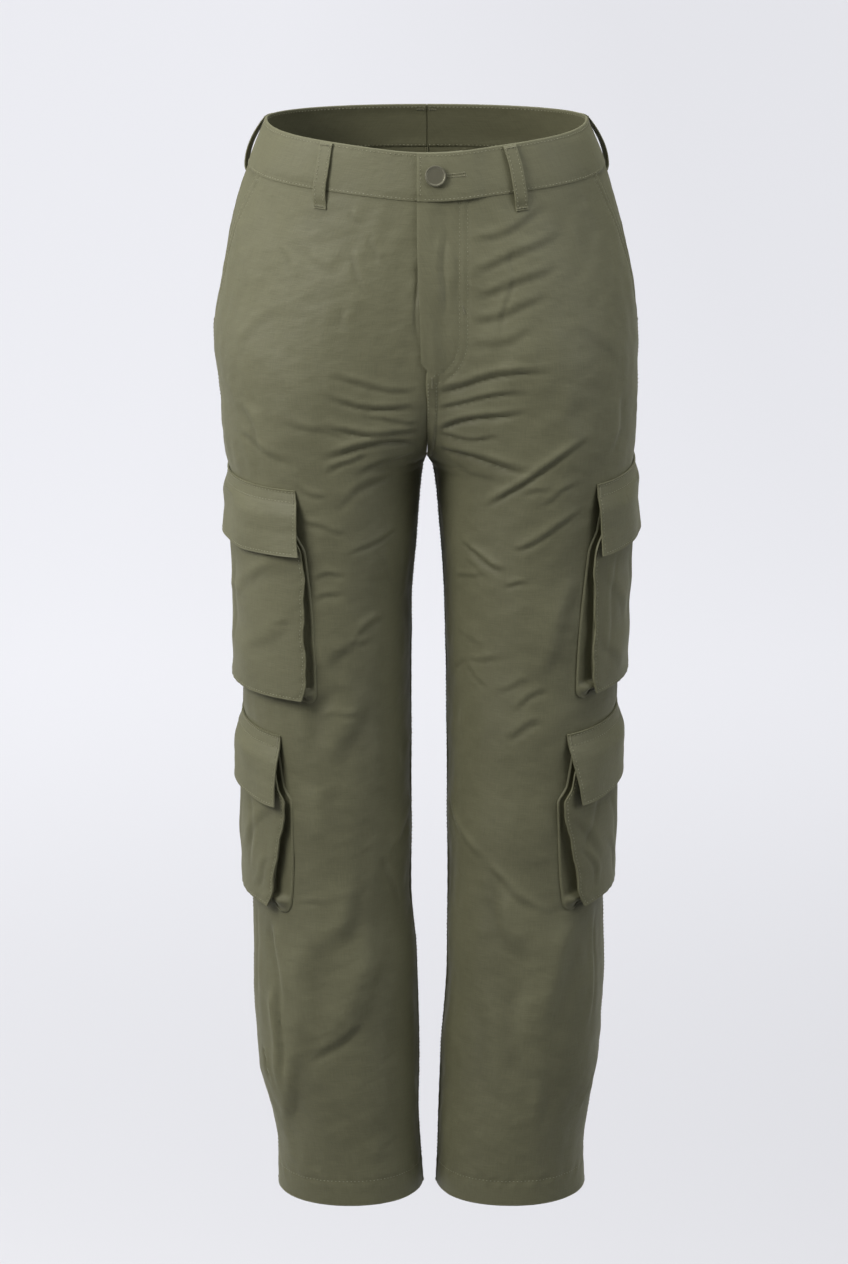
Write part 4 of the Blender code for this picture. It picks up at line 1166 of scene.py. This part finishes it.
mouth_seams = Seamstress("hip_pocket_stitching")
z = np.linspace(-BAND_HEIGHT - 0.001, POCKET_MOUTH_Z, 80)
for side in (RIGHT, LEFT):
    for inset in MOUTH_ROWS:
        mouth_seams.line(mouth_surface(side), mouth_arc(z) + inset, z)
    for tack_z in (-BAND_HEIGHT - 0.004, POCKET_MOUTH_Z + 0.003):
        at = float(mouth_arc(tack_z))
        mouth_seams.bartack(leg_surface(side), at + 0.001, tack_z, at + 0.010, tack_z, half_width=0.0010)
mouth_seams.finish()

leg_seams = Seamstress("leg_seam_stitching")
for side in (RIGHT, LEFT):
    z = np.linspace(CROTCH_Z - 0.006, HEM_Z + HEM_DEPTH, 300)
    leg_seams.line(leg_surface(side), arc_length(side, "front", z) - FELL + 0.0018, z)
    for start, end in ((POCKET_MOUTH_Z, -0.302), (-0.496, -0.522), (-0.690, HEM_Z + HEM_DEPTH)):
        z = np.linspace(start, end, 160)
        leg_seams.line(leg_surface(side), 0 * z - FELL + 0.0020, z)
leg_seams.finish()

# ---- Hems ----------------------------------------------------------------------------------------
# Each leg is turned up inside by 24 mm and stitched round once near the top of the turning, which
# draws the cloth into small slanted puckers.
HEM_LAYER = 0.0016           # distance of the inside layer from the outer face

for side, name in ((RIGHT, "right"), (LEFT, "left")):
    fold = np.linspace(0, math.pi, 7)
    heights = np.concatenate([HEM_Z - 0.0008 * np.sin(fold), np.linspace(HEM_Z, HEM_Z + HEM_DEPTH, 11)[1:]])
    layers = np.concatenate([-HEM_LAYER * (1 - np.cos(fold)) / 2, np.full(10, -HEM_LAYER)])
    rows = np.maximum(heights, HEM_Z)[:, None]
    front = panel_arcs(side, "front", rows)
    back = -panel_arcs(side, "back", rows)[:, ::-1]
    arcs = np.concatenate([front[:, 1:], back[:, :-1]], axis=1)
    points = cloth(side, arcs, rows + 0 * arcs, layers[:, None] - 0.0001)
    points[..., 2] += (heights - rows[:, 0])[:, None]
    places = np.stack([arcs, heights[:, None] + 0 * arcs], axis=-1)
    wear_and_painted_light = np.where(heights[:, None] < HEM_Z + 0.0002, 0.72, 0.5) + 0 * arcs
    faces = grid_faces(*arcs.shape, wrap=True, flipped=side == LEFT)
    hem = mesh_object("hem_" + name + "_turning", points, faces, places, wear_and_painted_light)
    thicken(hem, 0.0005)
    put_in(hem, "hem_" + name)
    around = float(arc_length(side, "front", HEM_Z) + arc_length(side, "back", HEM_Z))

hem_seams = Seamstress("hem_stitching")
for side in (RIGHT, LEFT):
    z = HEM_Z + HEM_DEPTH - 0.002
    for half, sign in (("front", 1), ("back", -1)):
        length = float(arc_length(side, half, z))
        run = np.linspace(0.0005, length - 0.001, 300) * sign
        hem_seams.line(leg_surface(side), run, np.full(300, z))
hem_seams.finish()

# ---- Cargo pockets -------------------------------------------------------------------------------
# Patch pockets over the side seams. A bellows strip joins each pouch to the leg on three sides, the
# flap is two layers sewn on above it, and every edge is turned in and edge-stitched.
POUCH_BELOW_FLAP = 0.014
POUCH_DEPTH_TOP, POUCH_DEPTH_BOTTOM = 0.0045, 0.0095
POCKET_REST = 0.0009
FLAP_WALL, FLAP_STEP = 0.0014, 0.0240
FLAP_FLARE = 0.0045
EDGE_STITCH = 0.0022
FLAP_ROWS = (0.0018, 0.0098)       # the rows that hold the flap's top edge, down from it
POUCH_HIDDEN_INSET = 0.006         # how much narrower a pouch is where its flap covers it

# Where each pocket's front edges run, as arcs: the flap's top and foot, the pouch's top and foot,
# and how wide its bellows stands open at the foot
PocketEdges = namedtuple("PocketEdges", "flap_top flap_foot pouch_top pouch_foot opening")
POCKET_EDGES = {
    "upper_pocket_right": PocketEdges(0.131, 0.128, 0.128, 0.1225, 0.0065),
    "upper_pocket_left": PocketEdges(0.100, 0.096, 0.096, 0.0890, 0.0095),
    "lower_pocket_right": PocketEdges(0.094, 0.091, 0.095, 0.0765, 0.0125),
    "lower_pocket_left": PocketEdges(0.106, 0.092, 0.103, 0.0820, 0.0105),
}


def pouch_depth(pocket, below):
    """How far a pouch stands off the leg at a distance below the flap's top edge."""
    return POUCH_DEPTH_TOP + (POUCH_DEPTH_BOTTOM - POUCH_DEPTH_TOP) * below / pocket.height


def pouch_front(pocket, below):
    """Arc of the pouch's front edge at a distance below the flap's top edge."""
    edges = POCKET_EDGES[pocket.name]
    share = (below - pocket.flap) / (pocket.height - pocket.flap)
    hidden = POUCH_HIDDEN_INSET * smooth(-share / 0.15)
    return edges.pouch_top + (edges.pouch_foot - edges.pouch_top) * np.clip(share, 0, 1) - hidden


# Creases on the pouches: arc from the side seam and distance below the flap's top edge
PouchCrease = namedtuple("PouchCrease", "pocket a0 b0 a1 b1 bow width ridge valley")
POUCH_CREASES = [
    PouchCrease("upper_pocket_right", 112, 62, 30, 118, 4, 11, 0.9, 0.9),
    PouchCrease("upper_pocket_right", 96, 60, 62, 92, -2, 9, 0.6, 0.7),
    PouchCrease("upper_pocket_right", 40, 70, 30, 170, 5, 10, 1.1, 0.9),
    PouchCrease("upper_pocket_right", 114, 108, 52, 160, -4, 12, 0.7, 0.9),
    PouchCrease("upper_pocket_right", 20, 108, 70, 102, 2, 9, 0.5, 0.7),
    PouchCrease("upper_pocket_right", 108, 118, 90, 120, 0, 5, 0.4, 0.6),
    PouchCrease("upper_pocket_right", -20, 64, -52, 150, 4, 12, 0.9, 0.9),
    PouchCrease("upper_pocket_right", -60, 96, -10, 146, 4, 11, 0.7, 0.8),
    PouchCrease("upper_pocket_left", 84, 70, 40, 150, 4, 11, 0.9, 0.9),
    PouchCrease("upper_pocket_left", 62, 66, 74, 170, 3, 8, 0.9, 0.9),
    PouchCrease("upper_pocket_left", 30, 72, 22, 160, 4, 10, 0.8, 0.8),
    PouchCrease("upper_pocket_left", 86, 128, 48, 178, -3, 10, 0.8, 0.9),
    PouchCrease("upper_pocket_left", -30, 70, -66, 156, 4, 12, 0.9, 0.9),
    PouchCrease("upper_pocket_left", -84, 110, -30, 150, 4, 10, 0.7, 0.8),
    PouchCrease("lower_pocket_right", 76, 66, 30, 128, 4, 10, 1.0, 1.0),
    PouchCrease("lower_pocket_right", 44, 62, 52, 140, 3, 8, 1.0, 1.0),
    PouchCrease("lower_pocket_right", 22, 70, 10, 140, 3, 9, 0.8, 0.8),
    PouchCrease("lower_pocket_right", 74, 112, 56, 150, -3, 8, 0.9, 1.0),
    PouchCrease("lower_pocket_right", -26, 68, -56, 136, 4, 10, 0.8, 0.8),
    PouchCrease("lower_pocket_left", 88, 66, 56, 128, -4, 10, 1.0, 1.0),
    PouchCrease("lower_pocket_left", 58, 66, 84, 120, 3, 8, 0.9, 1.0),
    PouchCrease("lower_pocket_left", 84, 104, 70, 152, 3, 7, 1.0, 1.1),
    PouchCrease("lower_pocket_left", 50, 110, 22, 156, 3, 9, 0.9, 0.9),
    PouchCrease("lower_pocket_left", 36, 70, 30, 130, 3, 9, 0.7, 0.8),
    PouchCrease("lower_pocket_left", -20, 72, -46, 140, 4, 10, 0.8, 0.8),
]
FLAP_WAVES = make_waves(23, 8, 0.035, 0.090, 0.55 * MM)


def pouch_creases(pocket):
    """The pouch's creases in metres, with heights above the flap's top edge, so below zero."""
    rows = []
    for crease in POUCH_CREASES:
        if crease.pocket == pocket.name:
            ends = (crease.a0 * MM, -crease.b0 * MM, crease.a1 * MM, -crease.b1 * MM)
            rows.append((*ends, crease.bow * MM, crease.width * MM, crease.ridge * MM,
                         crease.valley * MM))
    return rows


def edge_sway(pocket, below):
    """How far a pouch's upright edges wander from straight."""
    return 0.0011 * np.sin(below / 0.016 + 30 * pocket.top) + 0.0006 * np.sin(below / 0.0055)


def pouch_surface(pocket):
    """Places on the pouch: arcs and distances below the flap's top edge."""
    rows = pouch_creases(pocket)

    def surface(arcs, below, lift):
        share = (arcs - pocket.back) / (pocket.front - pocket.back)
        down = below / pocket.height
        out = pouch_depth(pocket, below) + 0.0012
        belly = np.sin(math.pi * np.clip(share, 0, 1)) * np.sin(math.pi * np.clip(down, 0, 1))
        out = out + 0.0022 * belly + 0.0014 * smooth((share - 0.88) / 0.12) * smooth(down / 0.4)
        to_edge = np.minimum(arcs - pocket.back, pocket.front - arcs)
        to_edge = np.minimum(to_edge, pocket.height - below)
        inside = smooth(to_edge / 0.014)
        out = out + inside * (crease_height(rows, arcs, -below)
                              + wave_height(FLAP_WAVES, arcs + pocket.top, -below))
        out = out - 0.25 * MM * np.exp(-((to_edge - EDGE_STITCH) / 0.0014) ** 2)
        out = out + 0.18 * MM * np.exp(-(to_edge / 0.006) ** 2) * np.sin((arcs + below) / 0.0021)
        heights = pocket.top - pocket.drop * arcs - below
        corner = smooth((down - 0.90) / 0.10) * np.sign(0.5 - share) * smooth(abs(share - 0.5) * 9 - 3.5)
        moved = pocket.back + share * (pouch_front(pocket, below) - pocket.back)
        moved = moved + edge_sway(pocket, below) * (2 * share - 1) + 0.0035 * corner
        return cloth(pocket.side, moved, heights, out + lift, lie=False)
    return surface


def edge_spaced(start, end, cells):
    """Places from start to end, closer together at both ends."""
    dense = np.array([0.0, 0.0008, 0.0018, 0.0030, 0.0044])
    direction = 1 if end > start else -1
    middle = np.linspace(start + direction * 0.0064, end - direction * 0.0064, cells)
    return np.concatenate([start + direction * dense, middle, end - direction * dense[::-1]])


pocket_seams = Seamstress("pocket_stitching")

for pocket in POCKETS:
    surface = pouch_surface(pocket)
    arcs = edge_spaced(pocket.back, pocket.front, 74)[None, :]
    below = edge_spaced(POUCH_BELOW_FLAP, pocket.height, 66)[:, None]
    arcs, below = np.broadcast_arrays(arcs, below)
    points = surface(arcs, below, 0.0)
    places = np.stack([arcs, -below], axis=-1)
    to_edge = np.minimum(np.minimum(arcs - pocket.back, pocket.front - arcs), pocket.height - below)
    # Painted light and shade on the pouch's creases: paler on their tops and darker in their bottoms. The
    # edges are paler with wear.
    height = crease_height(pouch_creases(pocket), arcs, -below)
    wear_and_painted_light = np.clip(0.5 + height / (3.2 * MM) + 0.14 * np.exp(-(to_edge / 0.0013) ** 2), 0, 1)
    points, places, wear_and_painted_light = add_turnings(points, places, wear_and_painted_light, folded_first=1.0, folded_last=1.0)
    faces = grid_faces(*wear_and_painted_light.shape, wrap=False, flipped=pocket.side == RIGHT)
    pouch = mesh_object(pocket.name + "_pouch_cloth", points, faces, places, wear_and_painted_light)
    thicken(pouch, CLOTH_WALL)
    sew_in(pouch, pocket.name + "_pouch", places)
    foot = pocket.height - EDGE_STITCH
    down = np.linspace(POUCH_BELOW_FLAP + 0.02, foot, 90)
    along = np.linspace(pocket.front - EDGE_STITCH, pocket.back + EDGE_STITCH, 90)
    pocket_seams.line(surface, np.full(90, pocket.front - EDGE_STITCH), down)
    pocket_seams.line(surface, along, np.full(90, foot))
    pocket_seams.line(surface, np.full(90, pocket.back + EDGE_STITCH), down)

BELLOWS_PLEAT = 0.0045       # half the height of the small pleat where the front edge ends
BELLOWS_STEP = 0.0035        # flat width of cloth from one line of the strip to the next


def bellows_path(pocket):
    """Down the front edge, along the foot and up the back edge, and which way is outside."""
    inset, corner = 0.0012, 0.0025
    back, foot = pocket.back + inset, pocket.height - inset
    front = pouch_front(pocket, foot) - inset
    down = np.linspace(POUCH_BELOW_FLAP - 0.004, foot - corner, 60)
    turn = np.linspace(0, math.pi / 2, 7)[1:-1]
    along = np.linspace(front - corner, back + corner, 46)
    rows = [(pouch_front(pocket, b) - inset, b, 1.0, 0.0) for b in down]
    rows += [(front - corner * (1 - math.cos(t)), foot - corner * (1 - math.sin(t)),
              math.cos(t), math.sin(t)) for t in turn]
    rows += [(a, foot, 0.0, 1.0) for a in along]
    rows += [(back + corner * (1 - math.sin(t)), foot - corner * (1 - math.cos(t)),
              -math.sin(t), math.cos(t)) for t in turn]
    rows += [(back, b, -1.0, 0.0) for b in down[::-1]]
    return np.array(rows)


def bellows_section(pocket, path):
    """The strip's section at each place on the path: distance outside the edge, and out."""
    a, b, outside_a, outside_b = path.T
    depth = pouch_depth(pocket, b)
    widest = POCKET_EDGES[pocket.name].opening
    opening = np.abs(outside_a) * widest * smooth((b - pocket.flap * 0.3) / (0.9 * pocket.height))
    opening = opening + 0.0012 + 0.0010 * outside_b
    sag = 0.0007 * np.sin(b / 0.011) + 0.0007 * np.sin(a / 0.008)
    fold = (b - pocket.height + BELLOWS_PLEAT * 1.1) / BELLOWS_PLEAT
    pleat = np.clip(1 - np.abs(fold), 0, 1) * np.maximum(outside_a, 0)
    mid = 0.0004 + pleat * 0.80 * depth
    steps = [(opening + 0.0012, 0.0002 + 0 * b), (opening + 0.0007, 0.0011 + 0 * b),
             (opening - 0.0002, 0.0013 + 0 * b), (opening - 0.0016, 0.0005 + pleat * 0.3 * depth),
             (0.5 * opening - 0.002, mid), (-0.0045 + sag * (1 - pleat), 0.0010 + 0.7 * pleat * depth),
             (-0.0052 + sag, 0.45 * depth), (-0.0040 + sag, 0.75 * depth), (0 * b - 0.0004, depth)]
    return steps


for pocket in POCKETS:
    path = bellows_path(pocket)
    a, b, outside_a, outside_b = path.T
    grid = []
    for outside, out in bellows_section(pocket, path):
        arcs, below = a + outside_a * outside, b + outside_b * outside
        grid.append(cloth(pocket.side, arcs, pocket.top - pocket.drop * arcs - below, out, lie=False))
    points = np.array(grid)
    along = np.concatenate([[0], np.cumsum(np.hypot(np.diff(a), np.diff(b)))])
    across = BELLOWS_STEP * np.arange(len(grid))
    places = np.stack(np.broadcast_arrays(along[None, :], across[:, None]), axis=-1)
    # Painted shade: the strip, set back between pouch and leg, is coloured darker. Rows 1 and 2, along its
    # folded lip, are paler.
    wear_and_painted_light = np.full(places.shape[:2], 0.42)
    wear_and_painted_light[1:3] = 0.72
    faces = grid_faces(*wear_and_painted_light.shape, wrap=False, flipped=pocket.side == LEFT)
    gusset = mesh_object(pocket.name + "_bellows", points, faces, places, wear_and_painted_light)
    thicken(gusset, 0.0005)
    sew_in(gusset, pocket.name + "_gusset", places)


def flap_surface(pocket):
    """Places on the flap: share across from the back edge and share down from the top."""
    def surface(across, down, lift):
        edges = POCKET_EDGES[pocket.name]
        front = edges.flap_top + (edges.flap_foot - edges.flap_top) * down
        arcs = (pocket.back - 0.002 + 0.005 * down) * (1 - across) + front * across
        below = pocket.flap * down
        depth = pouch_depth(pocket, below)
        out = POCKET_REST + (depth + CLOTH_WALL + 0.0012) * smooth(below / FLAP_STEP)
        out = out + FLAP_FLARE * down**2 + 0.0035 * smooth((across - 0.8) / 0.2) * down**2
        out = out + 0.0028 * smooth((0.2 - across) / 0.2) * down**2
        resting = np.exp(-((below - 0.64 * pocket.flap) / 0.004) ** 2)
        ripple = wave_height(FLAP_WAVES, arcs + 3 * pocket.top, -below)
        out = out + smooth((below - 0.006) / 0.02) * 1.6 * ripple - 0.35 * MM * resting
        for stitched in FLAP_ROWS:
            out = out - 0.40 * MM * np.exp(-((below - stitched) / 0.0013) ** 2)
        edge = np.minimum(np.minimum(across, 1 - across) * (pocket.front - pocket.back),
                          pocket.flap - below)
        out = out - 0.22 * MM * np.exp(-((edge - EDGE_STITCH) / 0.0013) ** 2)
        heights = pocket.top - pocket.drop * arcs - below
        sway = 0.0007 * np.sin(below / 0.009) * (2 * across - 1)
        heights = heights + down * 0.0009 * np.sin(arcs / 0.017)
        return cloth(pocket.side, arcs + sway, heights, out + FLAP_WALL + lift, lie=False)
    return surface


for pocket in POCKETS:
    surface = flap_surface(pocket)
    width = pocket.front - pocket.back
    across = edge_spaced(0.0, width, 74)[None, :] / width
    down = edge_spaced(0.0, pocket.flap, 26)[:, None] / pocket.flap
    across, down = np.broadcast_arrays(across, down)
    points = surface(across, down, 0.0)
    places = np.stack([across * width, -down * pocket.flap], axis=-1)
    edge = np.minimum(np.minimum(across, 1 - across) * width, (1 - down) * pocket.flap)
    edge = np.minimum(edge, down * pocket.flap)
    wear_and_painted_light = 0.5 + 0.12 * np.exp(-(edge / 0.0014) ** 2)
    faces = grid_faces(*wear_and_painted_light.shape, wrap=False, flipped=pocket.side == RIGHT)
    flap = mesh_object(pocket.name + "_flap_cloth", points, faces, places, wear_and_painted_light)
    thicken(flap, FLAP_WALL)
    sew_in(flap, pocket.name + "_flap", places)
    full = np.linspace(EDGE_STITCH / width, 1 - EDGE_STITCH / width, 120)
    for stitched in FLAP_ROWS:
        pocket_seams.line(surface, full, np.full(120, stitched / pocket.flap))
    foot = 1 - EDGE_STITCH / pocket.flap
    pocket_seams.line(surface, full, np.full(120, foot))
    for share in (full[0], full[-1]):
        pocket_seams.line(surface, np.full(40, share), np.linspace(0.2, foot, 40))
        top = (share, 0.02, share, 0.18)
        pocket_seams.bartack(surface, *top, half_width=0.006, gap=0.012)
pocket_seams.finish()

# ---- Button and buttonhole -----------------------------------------------------------------------
# An 18 mm tack button of zinc alloy with a dull gunmetal lacquer: a flat face inside a thin rolled
# rim. The buttonhole is a keyhole bound with dense thread, and its tail shows beside the button.
BUTTON_X, BUTTON_Z = 0.0070, -0.019
BUTTON_RADIUS, BUTTON_RIM, BUTTON_HEIGHT, BUTTON_FACE_DROP = 0.0090, 0.0013, 0.0032, 0.0006
GUNMETAL_HEX = "6a6858"


def lacquered_zinc(name, hex_colour):
    """Zinc alloy under a matt gunmetal lacquer, with fine rubbed scratches that soften its shine."""
    finish, tree, shader = new_material(name)
    place = add_node(tree, "TexCoord").outputs["Object"]
    noise = add_node(tree, "TexNoise", {"Scale": 1600.0, "Detail": 3.0}, {"Vector": place}).outputs["Fac"]
    tree.links.new(remap(tree, noise, 0.0, 1.0, 0.36, 0.52), shader.inputs["Roughness"])
    shade = remap(tree, noise, 0.0, 1.0, 0.88, 1.10)
    colour = add_node(tree, "HueSaturation", {"Color": linear(hex_colour)}, {"Value": shade})
    tree.links.new(colour.outputs["Color"], shader.inputs["Base Color"])
    shader.inputs["Metallic"].default_value = 0.6
    bump = add_node(tree, "Bump", {"Strength": 0.2, "Distance": 0.00005}, {"Height": noise})
    tree.links.new(bump.outputs["Normal"], shader.inputs["Normal"])
    return finish


def button_frame():
    """The button's seat on the lapped band: its foot, its axis and its two sides."""
    arc = float(arc_length(LEFT, "front", BUTTON_Z)) - BUTTON_X
    seat = BAND_PROUD + BAND_LAP_RISE + REST_GAP
    step = 0.0076

    def place(a, z):
        return cloth(LEFT, a, z, seat, lie=False)

    foot = place(arc, BUTTON_Z)
    up = place(arc, BUTTON_Z + step) - place(arc, BUTTON_Z - step)
    across = place(arc - step, BUTTON_Z) - place(arc + step, BUTTON_Z)
    axis = np.cross(across, up)
    axis, across = axis / np.linalg.norm(axis), across / np.linalg.norm(across)
    return foot, axis, across, np.cross(axis, across)


def pick_faces(piece, test):
    """Select the faces whose centre passes a test, in edit mode."""
    bpy.ops.mesh.select_all(action="DESELECT")
    shape = bmesh.from_edit_mesh(piece.data)
    for face in shape.faces:
        if test(face.calc_center_median(), face.normal):
            face.select_set(True)
    bmesh.update_edit_mesh(piece.data)


bpy.ops.object.select_all(action="DESELECT")
bpy.ops.mesh.primitive_cylinder_add(vertices=64, radius=BUTTON_RADIUS, depth=BUTTON_HEIGHT,
                                    location=(0, 0, BUTTON_HEIGHT / 2))
button = bpy.context.object
button.name = "button_cap"
bpy.ops.object.transform_apply(location=True)
bpy.ops.object.mode_set(mode="EDIT")
bpy.ops.mesh.select_mode(type="FACE")
pick_faces(button, lambda centre, normal: normal.z > 0.9)
bpy.ops.mesh.inset(thickness=BUTTON_RIM)
bpy.ops.mesh.inset(thickness=0.0004)
bpy.ops.transform.translate(value=(0, 0, -BUTTON_FACE_DROP))
bpy.ops.mesh.inset(thickness=0.0035)
bpy.ops.transform.translate(value=(0, 0, 0.0001))
pick_faces(button, lambda centre, normal: normal.z < -0.9)
bpy.ops.mesh.inset(thickness=0.0014)
bpy.ops.transform.translate(value=(0, 0, -0.0005))
bpy.ops.object.mode_set(mode="OBJECT")
bevel = button.modifiers.new("rolled_rim", "BEVEL")
bevel.width = 0.00045
bevel.segments = 4
bevel.limit_method = "ANGLE"
bevel.angle_limit = math.radians(40)
bpy.ops.object.modifier_apply(modifier=bevel.name)
bpy.ops.object.shade_smooth_by_angle(angle=math.radians(35))
foot, axis, across, up = button_frame()
turn = Matrix((across, up, axis)).transposed().to_4x4()
button.data.transform(Matrix.Translation(Vector(foot + axis * 0.0004)) @ turn)
button.data.materials.clear()
button.data.materials.append(lacquered_zinc("gunmetal_lacquered_zinc", GUNMETAL_HEX))
put_in(button, "button")

hole = Seamstress("buttonhole_stitching")
centre = float(arc_length(LEFT, "front", BUTTON_Z)) - BUTTON_X
surface = band_surface(LEFT)
for offset in (-0.0011, 0.0011):
    hole.bartack(surface, centre - 0.0075, BUTTON_Z + offset, centre - 0.0245, BUTTON_Z + offset,
                 half_width=0.0008, gap=0.0007)
hole.bartack(surface, centre - 0.0250, BUTTON_Z - 0.0018, centre - 0.0250, BUTTON_Z + 0.0018)
hole.finish()

# ---- Floor, light and camera ---------------------------------------------------------------------
# A plain studio: a sweep of pale paper well below the hems, lit from overhead, a softbox close by on
# the wearer's right and weaker ones round it, so the legs round off into shade towards the inside.
FLOOR_Z = -1.62
floor_mesh = bpy.data.meshes.new("studio_floor")
reach = 40.0
floor_mesh.from_pydata([(-reach, -reach, FLOOR_Z), (reach, -reach, FLOOR_Z), (reach, reach, FLOOR_Z),
                        (-reach, reach, FLOOR_Z)], [], [(0, 1, 2, 3)])
floor = bpy.data.objects.new("studio_floor", floor_mesh)
bpy.context.collection.objects.link(floor)
paper, tree, shader = new_material("pale_studio_paper")
place = add_node(tree, "SeparateXYZ", {}, {"Vector": add_node(tree, "TexCoord").outputs["Object"]})
# Painted shade in the paper's colour: darker towards the front, where the softboxes light it, and a little
# darker to the right, so the floor looks evenly lit and lighter on the left.
away = remap(tree, place.outputs["Y"], 1.2, 5.0, 0.745, 1.0, interpolation_type="SMOOTHSTEP")
painted_side_shade = remap(tree, place.outputs["X"], -0.7, 0.9, 1.0, 0.93)
both = add_node(tree, "Math", {}, {0: away, 1: painted_side_shade}, operation="MULTIPLY").outputs["Value"]
shade = add_node(tree, "HueSaturation", {"Color": linear("efeff3")}, {"Value": both})
tree.links.new(shade.outputs["Color"], shader.inputs["Base Color"])
shader.inputs["Roughness"].default_value = 0.9
shader.inputs["Specular IOR Level"].default_value = 0.1
floor_mesh.materials.append(paper)
floor.visible_diffuse = False

world = bpy.data.worlds.new("studio_dome")
world.use_nodes = True
bpy.context.scene.world = world
tree = world.node_tree
direction = add_node(tree, "TexCoord").outputs["Generated"]
height = add_node(tree, "SeparateXYZ", {}, {"Vector": direction}).outputs["Z"]
glow = remap(tree, height, 0.70, 0.92, 0.03, 2.9, interpolation_type="SMOOTHSTEP")
background = tree.nodes["Background"]
background.inputs["Color"].default_value = (0.98, 0.985, 1.0, 1.0)
tree.links.new(glow, background.inputs["Strength"])

Lamp = namedtuple("Lamp", "name place aim width power colour")
LAMPS = [
    Lamp("key_softbox", (-1.5, -1.3, 0.9), (0.0, 0.0, -0.2), 0.9, 40.0, (1.0, 0.985, 0.96)),
    Lamp("high_softbox", (-1.7, -2.1, 1.3), (0.0, 0.0, -0.15), 1.0, 6.0, (1.0, 0.985, 0.96)),
    Lamp("side_softbox", (-2.2, 0.3, 0.4), (0.0, 0.0, -0.4), 1.0, 14.0, (1.0, 0.99, 0.97)),
    Lamp("low_softbox", (-1.6, -1.6, -0.6), (0.0, 0.0, -0.5), 1.0, 3.0, (1.0, 0.99, 0.97)),
    Lamp("fill_softbox", (2.0, -1.2, 0.5), (0.0, 0.0, -0.3), 1.2, 21.0, (0.97, 0.98, 1.0)),
]
for lamp in LAMPS:
    light = bpy.data.lights.new(lamp.name, "AREA")
    light.size = lamp.width
    light.energy = lamp.power
    light.color = lamp.colour
    holder = bpy.data.objects.new(lamp.name, light)
    holder.location = lamp.place
    aim = Vector(lamp.aim) - Vector(lamp.place)
    holder.rotation_euler = aim.to_track_quat("-Z", "Y").to_euler()
    bpy.context.collection.objects.link(holder)

lens = bpy.data.cameras.new("studio_camera")
lens.sensor_fit = "VERTICAL"
lens.sensor_height = 36.0
lens.lens = 131.0
lens.clip_end = 200.0
camera = bpy.data.objects.new("studio_camera", lens)
camera.location = (-0.0026, -4.0, 0.46)
camera.rotation_euler = (math.radians(90.0) - math.atan2(0.92, 4.0), 0.0, 0.0)
bpy.context.collection.objects.link(camera)
bpy.context.scene.camera = camera
bpy.context.scene.view_settings.view_transform = "Standard"
